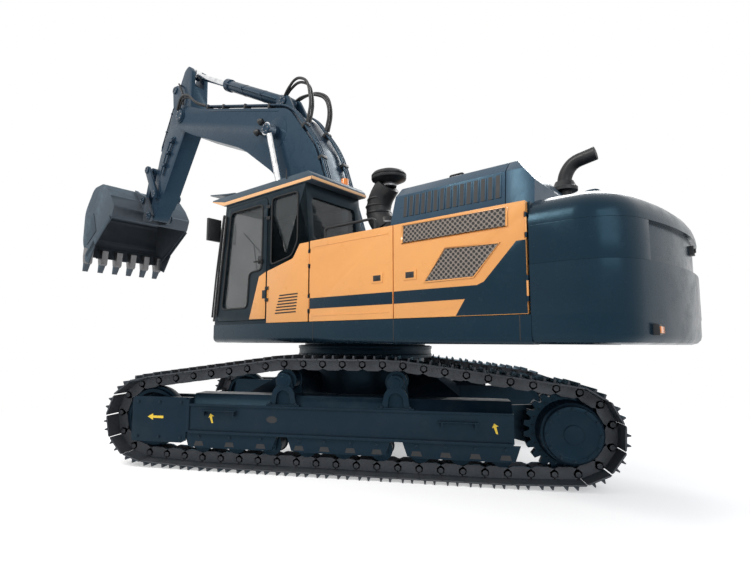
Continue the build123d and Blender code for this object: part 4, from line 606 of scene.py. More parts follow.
trim = Piece("track_frame_trim", "undercarriage", FRAME, "frame_paint", straight)
bolts = Piece("undercarriage_bolts", "undercarriage", FRAME, "frame_paint", straight)
# Thin black sheets on the guards and frame sides are painted shade for recesses.
recess_shade = Piece("undercarriage_painted_recess_shade", "undercarriage", BLACK, "dark_trim", straight)
marks = Piece("undercarriage_marks", "undercarriage", YELLOW, "panel_paint", straight)
for side in SIDES:
    centre = side * GAUGE / 2
    trim.box(-1.69, 1.7, *spread(centre, side, 0.24, 0.272), 0.386, 0.414)
    trim.box(-1.69, 1.7, *spread(centre, side, 0.24, 0.262), 0.676, 0.7)
    for u in CARRIER_U:
        half_turn = [pi * k / 10 for k in range(11)]
        arch = arc(u, 0.8, 0.128, half_turn)
        inner = arc(u, 0.79, 0.074, half_turn[::-1])
        trim.side(
            [(u + 0.15, 0.7)] + arch + [(u - 0.15, 0.7), (u - 0.085, 0.7)] + inner + [(u + 0.085, 0.7)],
            *spread(centre, side, 0.192, 0.226),
        )
        trim.box(u - 0.185, u + 0.185, *spread(centre, side, 0.16, 0.245), 0.694, 0.716)
        trim.lathe(
            [(0, 0.088), (0.055, 0.088), (0.065, 0.074), (0.065, 0.05), (0.072, 0.044)],
            (u, centre + side * 0.165, CARRIER_Z),
            (0, side, 0),
            28,
        )
        for du in (-0.145, 0.145):
            bolts.bolt((u + du, centre + side * 0.236, 0.716), (0, 0, 1), 0.016, 0.016)
    for u in ROLLER_U:
        trim.lathe(
            [(0, 0.05), (0.03, 0.05), (0.036, 0.042)], (u, centre + side * 0.188, ROLLER_Z), (0, side, 0), 20
        )
        trim.side(
            [(u - 0.085, 0.41), (u - 0.062, 0.262), (u + 0.062, 0.262), (u + 0.085, 0.41)],
            *spread(centre, side, 0.191, 0.212),
        )
        for du in (-0.04, 0.04):
            bolts.bolt((u + du, centre + side * 0.212, 0.36), (0, side, 0), 0.013, 0.012)
    for first, last in ((1.76, 0.7), (0.59, -0.5), (-0.62, -1.76)):
        guard = [
            (first, 0.392), (first - 0.05, 0.246), (first - 0.16, 0.232), (last + 0.16, 0.232),
            (last + 0.05, 0.246), (last, 0.392),
        ]
        trim.side(guard, *spread(centre, side, 0.228, 0.242))
        count = 3 if first > 1 else 4
        for k in range(count):
            u = first + (last - first) * (k + 0.5) / count
            bolts.bolt((u, centre + side * 0.242, 0.35), (0, side, 0), 0.015, 0.013)
            # a sheet of painted shade in each recess of the guard
            recess_shade.side(
                [(u - 0.055, 0.252), (u + 0.055, 0.252), (u + 0.04, 0.3), (u - 0.04, 0.3)],
                *spread(centre, side, 0.241, 0.2435),
            )
    for u0, u1, z in ((1.15, 1.55, 0.628), (-1.37, -0.985, 0.596)):
        trim.box(u0, u1, *spread(centre, side, 0.248, 0.3), z, z + 0.012)
        for u in (u0 + 0.02, u1 - 0.04):
            trim.box(u, u + 0.02, *spread(centre, side, 0.248, 0.29), z - 0.05, z)
    # a dark oval of painted shade for a recess in the frame side
    oval = [(0.754 + 0.06 * cos(a), 0.558 + 0.036 * sin(a)) for a in turns(24)]
    recess_shade.side(oval, *spread(centre, side, 0.2495, 0.252))
    trim.side(
        [
            (1.735, 0.3), (1.79, 0.276), (2.375, 0.276), (2.392, 0.3), (2.392, 0.735), (2.365, 0.765),
            (1.735, 0.765),
        ],
        *spread(centre, side, 0.238, 0.256),
    )
    trim.box(1.7, 1.735, *spread(centre, side, 0.238, 0.262), 0.395, 0.745)
    for u, z in ((1.8, 0.33), (1.8, 0.71), (2.32, 0.33), (2.32, 0.71), (2.06, 0.71), (2.06, 0.33)):
        bolts.bolt((u, centre + side * 0.256, z), (0, side, 0), 0.015, 0.013)
    arrow = [
        (2.2, 0.545), (2.135, 0.58), (2.135, 0.558), (2.01, 0.558), (2.01, 0.532), (2.135, 0.532),
        (2.135, 0.51),
    ]
    marks.side(arrow, *spread(centre, side, 0.256, 0.2575))
    for u in (1.42, -1.55):
        marks.side(
            [
                (u, 0.5), (u + 0.018, 0.5), (u + 0.04, 0.56), (u + 0.055, 0.555), (u + 0.035, 0.6),
                (u - 0.005, 0.575), (u + 0.015, 0.567),
            ],
            *spread(centre, side, 0.2495, 0.2512),
        )
    hub = (-WHEEL_U, centre + side * 0.252, WHEEL_Z)
    trim.lathe(
        [
            (-0.01, 0.272), (0.012, 0.262), (0.016, 0.225), (0.01, 0.218), (0.01, 0.095), (0.02, 0.088),
            (0.02, 0.0),
        ],
        hub,
        (0, side, 0),
        48,
    )
    for radius, count, phase, reach, size in ((0.243, 12, 0, 0.2665, 0.013), (0.334, 24, 0.5, 0.045, 0.012)):
        for u, z in arc(-WHEEL_U, WHEEL_Z, radius, turns(count, phase)):
            bolts.bolt((u, centre + side * reach, z), (0, side, 0), size, 0.012)
    trim.lathe(
        [(0, 0.115), (0.02, 0.115), (0.026, 0.1), (0.026, 0)], (WHEEL_U, centre + side * 0.14, WHEEL_Z),
        (0, side, 0), 32,
    )
for u, v in arc(0, 0, 0.815, turns(36)):
    bolts.bolt((u, v, 1.19), (0, 0, 1), 0.015, 0.014)
trim.lathe(
    [
        (1.196, 0.905), (1.232, 0.905), (1.236, 0.895), (1.3, 0.895), (1.304, 0.905), (1.338, 0.905),
        (1.34, 0.86),
    ],
    (0, 0, 0),
    (0, 0, 1),
    96,
)
trim.done(0.003)
bolts.done()
recess_shade.done()
marks.done()

# Counterweight

CW_FRONT = -2.838
TAIL = 3.75
HALF = 1.49
CORNER = 0.42
TAIL_CENTRE = -sqrt((TAIL - CORNER) ** 2 - (HALF - CORNER) ** 2)


def tail_plan(inset, z):
    """Half-round plan of the counterweight, moved in by inset."""
    turn = atan2(HALF - CORNER, -TAIL_CENTRE)
    corner = CORNER - inset
    left = [(CW_FRONT, HALF - inset)]
    for k in range(9):
        a = pi / 2 - (pi / 2 - turn) * k / 8
        left.append((TAIL_CENTRE - corner * cos(a), HALF - CORNER + corner * sin(a)))
    back = []
    for k in range(1, 24):
        a = turn - 2 * turn * k / 24
        back.append((-(TAIL - inset) * cos(a), (TAIL - inset) * sin(a)))
    right = [(u, -v) for u, v in reversed(left)]
    return [(u, v, z) for u, v in left + back + right]


tiers = [
    (0.09, 1.372), (0.04, 1.386), (0.014, 1.415), (0.006, 1.45), (0.004, 1.59), (0.0, 1.598), (0.0, 1.985),
    (0.038, 1.99), (0.038, 2.285), (0.0, 2.29), (0.004, 2.33), (0.02, 2.385), (0.05, 2.435), (0.095, 2.48),
    (0.155, 2.517), (0.23, 2.545), (0.31, 2.555),
]
cast = Piece("counterweight_casting", "house", BODY, "blue_paint")
cast.hull([tail_plan(inset, z) for inset, z in tiers])
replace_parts(cast.done(smooth_angle=32), "counterweight")
weight_trim = Piece("counterweight_trim", "house", BODY, "blue_paint")
for v in (-0.86, 0.86):
    weight_trim.lathe([(0, 0.075), (0.02, 0.075), (0.026, 0.066)], (-3.15, v, 2.553), (0, 0, 1), 28)
    weight_trim.tube(level(v, [(-3.09, 2.56), (-3.09, 2.655), (-3.21, 2.655), (-3.21, 2.56)]), 0.018, 0.05)
for part in (slice(0, 11), slice(31, None)):
    skin_edge = [(u, v) for u, v, z in tail_plan(0.0, 0)[part]]
    back_edge = [(u, v) for u, v, z in tail_plan(0.08, 0)[part]]
    weight_trim.top(skin_edge + back_edge[::-1], 1.9855, 2.2895)
weight_trim.done(0.004)
rear_lamps = Piece("rear_lamps", "house", AMBER, "amber_lens")
house_dark = Piece("rear_dark_trim", "house", BLACK, "dark_trim")
for v in (-1.02, 1.02):
    reach = -sqrt(TAIL**2 - v * v)
    house_dark.box(reach - 0.004, reach + 0.08, v - 0.1, v + 0.1, 1.44, 1.52)
    rear_lamps.box(reach - 0.012, reach + 0.04, v - 0.085, v + 0.085, 1.455, 1.505)
house_dark.box(-3.745, -3.66, -0.05, 0.05, 2.16, 2.24)
house_dark.lathe([(0, 0.02), (0.012, 0.02)], (-3.745, 0, 2.2), (-1, 0, 0), 20)
rear_lamps.lathe([(0, 0.055), (0.03, 0.055), (0.05, 0.035), (0.052, 0)], (-3.36, 0.26, 2.55), (0, 0, 1), 24)

# Doors: stripes, grilles and latches

FRONT_STRIPE = [(-0.424, 1.741), (-1.54, 1.741), (-1.54, 1.8565), (-0.424, 1.857)]
REAR_STRIPE = [
    (-1.558, 1.741), (-2.29, 1.746), (-2.202, 1.607), (-2.816, 1.607), (-2.816, 2.183), (-2.742, 2.182),
    (-2.463, 1.881), (-2.4, 1.856), (-1.558, 1.8565),
]
for body, side in (("left_front_door", 1), ("left_rear_door", 1), ("right_rear_door", -1)):
    face = side * HALF
    stripe = Piece(body + "_stripe", body, BODY, "blue_paint")
    latch = Piece(body + "_latch", body, BLACK, "dark_trim")
    trim = Piece(body + "_pressing", body, ORANGE, "panel_paint")
    front = body == "left_front_door"
    u = -1.36 if front else -1.74
    stripe.side(FRONT_STRIPE if front else REAR_STRIPE, *spread(face, side, -0.001, 0.0025))
    trim.box(u - 0.07, u + 0.07, *spread(face, side, -0.001, 0.006), 1.955, 2.045)
    latch.box(u - 0.045, u + 0.045, *spread(face, side, 0.004, 0.009), 1.972, 2.028)
    latch.lathe([(0, 0.018), (0.006, 0.018)], (u, face + side * 0.008, 2.0), (0, side, 0), 18)
    if front:
        for z in (1.66, 2.42):
            trim.box(-1.5, -0.47, *spread(face, side, -0.001, 0.004), z, z + 0.012)
    else:
        screen = Piece(body + "_screens", body, SCREEN, "dark_trim")
        for quad in (
            [(-1.664, 2.309), (-2.66, 2.315), (-2.665, 2.466), (-1.674, 2.47)],
            [(-1.902, 1.926), (-2.372, 1.93), (-2.599, 2.18), (-2.113, 2.195)],
        ):
            mid = (sum(p[0] for p in quad) / 4, sum(p[1] for p in quad) / 4)
            screen.side(quad, *spread(face, side, -0.001, 0.003))
            rim = [(mid[0] + (p[0] - mid[0]) * 1.035, mid[1] + (p[1] - mid[1]) * 1.09) for p in quad]
            for a, b, c, d in zip(quad, quad[1:] + quad[:1], rim[1:] + rim[:1], rim):
                trim.side([a, b, c, d], *spread(face, side, -0.001, 0.008))
        screen.done()
    stripe.done(0.0006)
    latch.done(0.002)
    trim.done(0.002)

# Hood, exhaust and air intake

hood_shade_and_handle = Piece("hood_louvre_shade_and_handle", "engine_hood", BLACK, "dark_trim")
hood_lips = Piece("hood_louvre_lips", "engine_hood", HOOD_LIT_SLATE, "blue_paint")
# Black strips between the louvre lips are painted shade for the openings between the slats.
for side in SIDES:
    for k in range(15):
        u = -1.555 - 0.068 * k
        lean = [(side * (1.3262 - 0.0962 * (z - 2.502)), z) for z in (2.6, 2.825)]
        for piece, u0, u1, lift in (
            (hood_shade_and_handle, u, u - 0.038, 0.006), (hood_lips, u - 0.038, u - 0.052, 0.011)
        ):
            low = (lean[0][0] - side * 0.004, lean[0][1])
            high = (lean[1][0] - side * 0.004, lean[1][1])
            piece.front(
                [
                    low, (lean[0][0] + side * lift, lean[0][1] + 0.01),
                    (lean[1][0] + side * lift, lean[1][1] - 0.01), high,
                ],
                u1,
                u0,
            )
for u in (-1.72, -2.26):
    hood_lips.top([(u, -0.85), (u, 0.85), (u - 0.22, 0.85), (u - 0.22, -0.85)], 2.945, 2.965)
# A bent black tube on the hood top.
hood_shade_and_handle.tube(
    [(-1.98, 1.12, 2.935), (-1.98, 1.15, 2.975), (-2.12, 1.15, 2.975), (-2.12, 1.12, 2.935)], 0.01, 0.02
)
hood_shade_and_handle.done()
hood_lips.done(0.003)

pipe = Piece("exhaust_pipe", "house", BLACK, "dark_trim")
pipe.tube(level(0.11, [(-2.715, 2.85), (-2.715, 3.08), (-2.8, 3.21), (-3.02, 3.255)]), 0.068, 0.15, 28, 7)
pipe.lathe(
    [(0, 0.125), (0.035, 0.125), (0.045, 0.112), (0.1, 0.088), (0.1, 0.066)],
    (-2.715, 0.11, 2.925),
    (0, 0, 1),
    32,
)
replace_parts(pipe.done(), "exhaust_stack")
mouth = Piece("exhaust_mouth", "house", SEAL, "dark_trim")
mouth.lathe([(0, 0.057), (0.004, 0.057)], (-3.018, 0.11, 3.2546), (-0.22, 0, 0.045), 28)
mouth.done()

intake = Piece("intake_stack", "house", BLACK, "dark_trim")
intake.lathe(
    [(0, 0.15), (0.05, 0.15), (0.06, 0.118), (0.27, 0.118), (0.29, 0.108)], (-1.01, 0.83, 2.498), (0, 0, 1),
    32,
)
intake.tube(
    [(-0.99, 0.83, 2.66), (-0.86, 0.83, 2.86), (-0.9, 0.83, 3.04), (-1.02, 0.84, 3.17)], 0.142, 0.16, 28, 6
)
for u, z in ((-0.882, 2.85), (-0.872, 2.93), (-0.896, 3.01)):
    intake.lathe([(0, 0.146), (0.012, 0.152), (0.024, 0.146)], (u, 0.83, z), (0, 0, 1), 28)
bowl = [
    (0, 0.085), (0.04, 0.085), (0.05, 0.12), (0.085, 0.195), (0.1, 0.2), (0.115, 0.2), (0.12, 0.192),
    (0.125, 0.2), (0.14, 0.2), (0.165, 0.18), (0.19, 0.12), (0.205, 0.05),
]
intake.lathe(bowl, (-1.03, 0.84, 3.145), (0, 0, 1), 40)
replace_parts(intake.done(0.002), "precleaner")
clamp = Piece("intake_clamps", "house", WORN, "rod_chrome")
clamp.lathe([(0, 0.121), (0.018, 0.121)], (-1.01, 0.83, 2.72), (0, 0, 1), 28)
clamp.lathe([(0, 0.089), (0.018, 0.089)], (-1.03, 0.84, 3.15), (0, 0, 1), 28)
clamp.done()

# Cab


def cab_front(z):
    return 1.4 - 0.12173 * (z - 1.5983)


band = Piece("roof_band", "house", CREAM, "panel_paint")
edge = [(-0.43, 3.205), (1.245, 3.205), (1.515, 3.302), (1.515, 3.312), (1.22, 3.25), (-0.43, 3.243)]
band.side(edge, 1.4955, 1.502)
band.side(edge, 0.528, 0.5345)
band.box(-0.447, -0.4405, 0.53, 1.5, 3.21, 3.243)
band.done(0.0015)
visor = Piece("roof_visor", "house", ROOF, "roof_paint")
visor.side(
    [(1.02, 3.338), (1.2, 3.352), (1.6, 3.415), (1.6, 3.432), (1.2, 3.372), (1.02, 3.35)], 0.545, 1.485
)
visor.box(0.1, 0.7, 0.72, 1.3, 3.325, 3.352)
visor.done(0.004)
cab_orange = Piece("door_lower_panel", "cab_door", ORANGE, "panel_paint")
cab_orange.side([(0.338, 1.655), (0.64, 1.655), (0.465, 2.175), (0.338, 2.222)], 1.4845, 1.4905)
cab_orange.done(0.0015)
seals = Piece("door_window_seal", "cab_door", SEAL, "dark_trim")
window = [
    (0.42, 2.26), (0.665, 2.24), (0.695, 1.8), (cab_front(1.8) - 0.14, 1.8), (cab_front(3.075) - 0.14, 3.075),
    (0.42, 3.075),
]
loop = [(0.42, 2.7)] + window + [(0.42, 2.7)]
seals.tube(level(1.487, loop), 0.01, 0.07, 8, 4)
seals.tube([(cab_front(z) - 0.045, 1.492, z) for z in (1.72, 3.05)], 0.012, 0.02, 8)
seals.box(0.405, 0.475, 1.484, 1.506, 2.335, 2.385)
seals.tube([(0.43, 1.497, 2.36), (0.43, 1.522, 2.36), (0.53, 1.522, 2.36)], 0.01, 0.02, 10)
seals.done()
cab_dark = Piece("cab_dark_trim_and_vent_shade", "house", SEAL, "dark_trim")
cab_dark.tube(
    level(
        1.482,
        [
            (0.255, 2.7), (0.255, 3.12), (-0.205, 3.12), (-0.205, 2.53), (-0.11, 2.37), (0.255, 2.3),
            (0.255, 2.7),
        ],
    ),
    0.01,
    0.06,
    8,
    4,
)
cab_dark.tube(
    level(
        0.538,
        [
            (0.4, 2.15), (cab_front(2.15) - 0.12, 2.15), (cab_front(3.12) - 0.12, 3.12), (-0.2, 3.12),
            (-0.2, 2.15), (0.4, 2.15),
        ],
    ),
    0.01,
    0.06,
    8,
    4,
)
# Dark strips on the lower cab side are painted shade for the gaps of the vent.
for k in range(7):
    z = 1.705 + 0.034 * k
    shift = 0.012 * k
    cab_dark.side(
        [
            (0.15 - shift, z), (0.15 - shift, z + 0.015), (-0.205 - shift * 0.4, z + 0.022),
            (-0.205 - shift * 0.4, z + 0.007),
        ],
        1.4895,
        1.4925,
    )
cab_dark.tube([(cab_front(1.95) + 0.012, 0.72, 1.95), (cab_front(2.75) + 0.018, 0.95, 2.75)], 0.007, 0.01, 8)
cab_dark.tube([(cab_front(2.75) + 0.014, 0.76, 2.62), (cab_front(2.75) + 0.01, 1.14, 2.9)], 0.009, 0.01, 8)
cab_dark.box(0.95, 1.1, 0.62, 0.74, 2.42, 2.66)
for v in (0.7, 1.32):
    stick = [(0, 0.012), (0.2, 0.012), (0.2, 0.028), (0.27, 0.034), (0.3, 0.026)]
    cab_dark.lathe(stick, (0.62, v, 2.18), (0.15, 0, 1), 16)
for v in (0.93, 1.09):
    cab_dark.tube([(1.05, v, 1.66), (1.02, v, 1.95), (0.94, v, 2.12)], 0.011, 0.06, 8)
    cab_dark.box(1.02, 1.17, v - 0.05, v + 0.05, 1.69, 1.705)
cab_dark.tube([(-0.02, 1.505, 3.3), (-0.02, 1.505, 3.4), (-0.02, 1.505, 3.42)], 0.006, 0.01, 8)
cab_dark.box(cab_front(2.05) + 0.002, cab_front(2.05) + 0.03, 0.86, 1.1, 1.62, 1.66)
cab_dark.done()
seat = Piece("seat_trim", "house", SEAT, "dark_trim")
seat.side([(0.02, 2.66), (0.1, 2.66), (0.06, 2.9), (-0.02, 2.9)], 0.88, 1.14)
seat.done(0.02)
mirror = Piece("mirror_housing", "house", BLACK, "dark_trim")
mirror.box(1.305, 1.35, 1.51, 1.665, 2.73, 3.01)
mirror.tube([(1.4, 1.52, 1.7), (1.315, 1.53, 2.3), (1.2, 1.52, 3.05)], 0.013, 0.2, 10)
mirror.done(0.012)

# House trim

treads = Piece("step_treads", "house", WORN, "track_steel")
for u0, u1, z in ((1.44, 1.83, 2.02), (0.96, 1.41, 2.28)):
    treads.box(u0, u1, -1.44, -0.72, z, z + 0.005)
    for k in range(7):
        for j in range(12):
            at = (u0 + 0.04 + (u1 - u0 - 0.08) * k / 6, -1.41 + 0.66 * j / 11, z + 0.005)
            treads.lathe([(0, 0.016), (0.004, 0.01)], at, (0, 0, 1), 8)
for v, u, z in ((-1.1, 0.42, 2.497), (-1.1, -0.75, 2.497)):
    treads.lathe(
        [(0, 0.085), (0.02, 0.085), (0.025, 0.07), (0.06, 0.066), (0.065, 0.05)], (u, v, z), (0, 0, 1), 28
    )
treads.done()
house_dark.box(1.836, 1.848, -1.3, -0.9, 1.66, 1.86)
for u in (1.42, 1.05, 0.7):
    house_dark.box(u, u + 0.24, -1.53, -1.486, 1.44, 1.455)
for v in (-1.3, -0.82):
    house_dark.lathe([(0, 0.05), (0.05, 0.062), (0.065, 0.055)], (1.84, v, 1.93), (1, 0, 0), 24)
for u in (-0.48, -1.55, -2.75):
    house_dark.box(u - 0.004, u + 0.004, 1.4885, 1.4915, 1.4, 1.596)
house_dark.done(0.002)
rear_lamps.done(0.004)
handles = Piece("deck_rails", "house", BLACK, "dark_trim")
for side in SIDES:
    handles.tube(
        level(side * 1.38, [(-0.55, 2.5), (-0.55, 2.64), (-1.25, 2.64), (-1.25, 2.5)]), 0.014, 0.05, 10
    )
handles.done()
lines = Piece("boom_foot_lines", "house", HOSE, "dark_trim")
for k in range(5):
    v = -0.26 + 0.1 * k
    lines.tube(
        [(-0.44, v, 1.74 + 0.03 * (k % 2)), (-0.36, v, 1.76), (-0.27, v * 0.9, 1.62), (-0.27, v * 0.8, 1.5)],
        0.022,
        0.07,
        10,
    )
lines.done()

# Boom, arm and cylinders

caps = {}


def cap(body, pin, reach, side, radius, depth):
    """A round pin cover with six bolts."""
    if body not in caps:
        cover = Piece(body + "_pin_covers", body, BOOM, "blue_paint")
        caps[body] = (cover, Piece(body + "_pin_bolts", body, WORN, "track_steel"))
    cover, ring = caps[body]
    face = depth + 0.005
    outline = [
        (0, radius), (depth, radius), (face, radius * 0.92), (face, radius * 0.45), (depth, radius * 0.4),
        (depth, 0),
    ]
    v = BOOM_MID + side * reach
    cover.lathe(outline, (pin[0], v, pin[1]), (0, side, 0), 28)
    for u, z in arc(*pin, radius * 0.7, turns(6)):
        ring.bolt((u, v + side * (depth + 0.004), z), (0, side, 0), radius * 0.11, 0.01)


PIN_COVERS = (
    ("boom", BOOM_FOOT, 0.35, 0.095, 0.022),
    ("boom", BOOM_NOSE, 0.325, 0.125, 0.022),
    ("house", BOOM_CYLINDER_BASE, 0.553, 0.08, 0.015),
    ("arm", BUCKET_CYLINDER_BASE, 0.19, 0.08, 0.014),
    ("bucket", BUCKET_PIN, 0.255, 0.088, 0.016),
    ("bucket", BUCKET_LINK_PIN, 0.255, 0.078, 0.016),
    ("rockers", ROCKER_PIN, 0.29, 0.085, 0.014),
    ("rockers", ROCKER_JOINT, 0.29, 0.08, 0.014),
    ("boom", ARM_CYLINDER_BASE, 0.165, 0.078, 0.012),
)
for side in SIDES:
    for body, pin, reach, radius, depth in PIN_COVERS:
        cap(body, pin, reach, side, radius, depth)
    rod = "boom_cylinder_rod_left" if side > 0 else "boom_cylinder_rod_right"
    cap(rod, BOOM_CYLINDER_EYE, 0.513, side, 0.088, 0.014)
for cover, ring in caps.values():
    cover.done()
    ring.done()

PIPE_SHIFTS = (0.2, 0.242, 0.284)
HOSE_RADIUS = 0.022
BACK = [(0.1, 2.6), (0.692, 4.327), (1.314, 5.152), (3.84, 5.968)]
pipes = Piece("boom_pipes", "boom", BOOM, "blue_paint")
pipe_clamps = Piece("boom_pipe_clamps", "boom", BLACK, "dark_trim")
for side in SIDES:
    for shift in PIPE_SHIFTS:
        pipes.tube(level(BOOM_MID + side * shift, BACK), 0.016, 0.3, 12, 8)
    for a, b, reach in (
        (0, 1, 0.35), (0, 1, 1.1), (0, 1, 1.6), (1, 2, 0.5), (2, 3, 0.55), (2, 3, 1.25), (2, 3, 1.95),
        (2, 3, 2.5),
    ):
        start, end = BACK[a], BACK[b]
        quad = strap(start, end, reach - 0.025, 0.05, -0.058, 0.024)
        pipe_clamps.side(quad, *spread(BOOM_MID, side, 0.176, 0.306))
pipes.done()
pipe_clamps.done(0.003)

plates = Piece("boom_side_pads", "boom", BOOM, "blue_paint")
for side in SIDES:
    for centre, radius in ((BOOM_CYLINDER_EYE, 0.26), (BOOM_FOOT, 0.2)):
        disc = arc(*centre, radius, turns(40))
        plates.side(disc, *spread(BOOM_MID, side, 0.298, 0.304))
    strip = strap((1.35, 5.1), (3.933, 5.936), 0.25, 2.15, -0.035, -0.05)
    plates.side(strip, *spread(BOOM_MID, side, 0.299, 0.306))
plates.done(0.002)
lamp_body = Piece("boom_lamps", "boom", BLACK, "dark_trim")
lamp_glass = Piece("boom_lamp_lenses", "boom", LAMP, "clear_glass")
for u, z in ((1.93, 5.02), (2.02, 4.86)):
    for side in SIDES:
        lamp_body.box(u - 0.02, u + 0.02, *spread(BOOM_MID, side, 0.3, 0.345), z - 0.015, z + 0.015)
        shell = [(-0.05, 0.03), (0.0, 0.055), (0.03, 0.06), (0.035, 0.052)]
        lens = [(0.03, 0.05), (0.037, 0.046), (0.04, 0.02)]
        for piece, profile in ((lamp_body, shell), (lamp_glass, lens)):
            piece.lathe(profile, (u, BOOM_MID + side * 0.39, z), (1, 0, -0.25), 24)
lamp_body.done()
lamp_glass.done()

hoses = Piece("boom_hoses", "boom", HOSE, "dark_trim")
for side in SIDES:
    for k, shift in enumerate(PIPE_SHIFTS):
        v = BOOM_MID + side * shift
        hoses.tube(
            [
                (0.12, v, 2.66), (0.05, v, 2.46), (-0.1 - 0.03 * k, v, 2.34), (-0.22 - 0.02 * k, v, 2.16),
                (-0.16, v * 0.9, 1.92),
            ],
            HOSE_RADIUS,
            0.12,
            10,
            5,
        )
    for k in range(2):
        v = BOOM_MID + side * (0.335 + 0.035 * k)
        rise = 0.16 + 0.1 * k
        hoses.tube(
            [
                (3.78, BOOM_MID + side * (0.242 + 0.042 * k), 5.955),
                (4.02, v, 6.05 + 0.02 * k),
                (4.28, v + side * 0.03, 6.22 + rise * 0.4),
                (4.55, v + side * 0.03, 6.26 + rise * 0.4),
                (4.72, v, 6.14),
            ],
            HOSE_RADIUS,
            0.14,
            10,
            5,
        )
    for k in range(2):
        v = BOOM_MID + side * (0.18 + 0.06 * k)
        rise = (0.06 if side > 0 else -0.02) + 0.05 * k
        loop = [
            (0.98, v, 4.78), (0.9, v, 5.05), (0.98, v, 5.36 + rise), (1.28, v * 0.9, 5.52 + rise),
            (1.54, v * 0.7, 5.51), (1.68, v * 0.5, 5.42),
        ]
        hoses.tube(loop, HOSE_RADIUS, 0.16, 12, 6)
hoses.done()

arm_pipes = Piece("arm_pipes", "arm", BOOM, "blue_paint")
arm_hoses = Piece("arm_hoses", "arm", HOSE, "dark_trim")
for side in SIDES:
    for k in range(2):
        v = BOOM_MID + side * (0.208 + 0.034 * k)
        arm_pipes.tube(
            [
                (5.05 + 0.05 * k, BOOM_MID + side * 0.15, 5.76),
                (5.09 + 0.05 * k, v, 5.7),
                (5.28 + 0.05 * k, v, 5.42),
                (5.52 + 0.04 * k, v, 4.98),
            ],
            0.014,
            0.05,
            10,
        )
    arm_hoses.tube(
        [
            (4.78, BOOM_MID + side * 0.208, 6.28),
            (4.74, BOOM_MID + side * 0.24, 6.52),
            (4.88, BOOM_MID + side * 0.25, 6.8),
            (5.06, BOOM_MID + side * 0.17, 6.92),
            (5.14, BOOM_MID + side * 0.08, 6.93),
        ],
        0.02,
        0.12,
        10,
    )
for u, z in ((5.14, 5.64), (5.28, 5.42), (5.42, 5.18)):
    for side in SIDES:
        arm_pipes.box(u - 0.05, u + 0.08, *spread(BOOM_MID, side, 0.188, 0.262), z - 0.022, z + 0.022)
arm_pipes.done()
arm_hoses.done()

CYLINDERS = (
    ("boom_cylinder_barrel_left", BOOM_CYLINDER_BASE, BOOM_CYLINDER_EYE, BOOM_MID + 0.45, 2.08, 0.09, 1),
    ("boom_cylinder_barrel_right", BOOM_CYLINDER_BASE, BOOM_CYLINDER_EYE, BOOM_MID - 0.45, 2.08, 0.09, -1),
    ("arm_cylinder_barrel", ARM_CYLINDER_BASE, ARM_CYLINDER_EYE, BOOM_MID, 2.11, 0.1, 1),
    ("bucket_cylinder_barrel", BUCKET_CYLINDER_BASE, ROCKER_JOINT, BOOM_MID, 1.36, 0.085, 1),
)
for body, base, tip, v, length, radius, side in CYLINDERS:
    gland = Piece(body + "_gland", body, BOOM, "blue_paint")
    axis = (tip[0] - base[0], 0, tip[1] - base[1])
    origin = (base[0], v, base[1])
    gland.lathe(
        [
            (length - 0.17, radius), (length - 0.165, radius + 0.018), (length - 0.03, radius + 0.018),
            (length - 0.02, radius + 0.01), (length + 0.012, radius * 0.86), (length + 0.014, radius * 0.7),
        ],
        origin,
        axis,
        32,
    )
    gland.lathe(
        [(0.185, radius), (0.19, radius + 0.012), (0.26, radius + 0.012), (0.265, radius)], origin, axis, 32
    )
    lift = side * (radius + 0.024)
    stations = ((0.3, 0.8), (0.36, 1.0), (length - 0.1, 1.0), (length - 0.06, 0.8))
    pipe_line = [along(base, tip, reach) + (v + lift * share,) for reach, share in stations]
    gland.tube([(u, w, z) for u, z, w in pipe_line], 0.013, 0.03, 10)
    for share in (0.35, 0.65):
        c = along(base, tip, length * share)
        gland.lathe([(0, radius + 0.004), (0.03, radius + 0.004)], (c[0], v, c[1]), axis, 32)
        quad = strap(base, tip, length * share, 0.03, -0.022, 0.022)
        gland.side(quad, *spread(v, side, radius, radius + 0.042))
    gland.done()

# Bucket

wear = Piece("bucket_wear_strips", "bucket", BUCKET, "bucket_paint")
WRAP = [(7.64, 3.33), (7.842, 3.66), (7.868, 3.654), (7.664, 3.318)]
for v in (-0.62, -0.02, 0.58):
    wear.side(WRAP, v - 0.06, v + 0.06)
for side in SIDES:
    low, high = spread(BOOM_MID, side, 0.898, 0.918)
    wear.side([(6.42, 4.1), (7.6, 3.42), (7.52, 3.28), (6.36, 4.01)], low, high)
    wear.side([(7.18, 3.66), (7.66, 3.36), (7.6, 3.22), (7.4, 3.14), (7.1, 3.52)], low, high)
    wear.side(
        [(7.1, 3.86), (7.58, 3.6), (7.7, 3.8), (7.64, 4.16), (7.3, 4.3)],
        *spread(BOOM_MID, side, 0.898, 0.912),
    )
wear.done(0.004)
teeth = Piece("bucket_tooth_adapters", "bucket", WORN, "bucket_paint")
for k in range(6):
    v = BOOM_MID - 0.9 + 0.055 + 1.69 * k / 5
    teeth.side(
        [(7.5, 3.5), (7.55, 3.2), (7.6, 3.16), (7.74, 3.2), (7.77, 3.34), (7.745, 3.53), (7.7, 3.56)],
        v - 0.068,
        v + 0.068,
    )
    for side in SIDES:
        teeth.lathe([(0, 0.018), (0.006, 0.018)], (7.655, v + side * 0.067, 3.3), (0, side, 0), 14)
teeth.done(0.006)

# Floor, lights and camera

FLOOR_HALF = 60
FADE_START = 4.0
FADE_END = 7.5
FLOOR_LIFT = 0.42
STUDIO_STRENGTH = 0.55


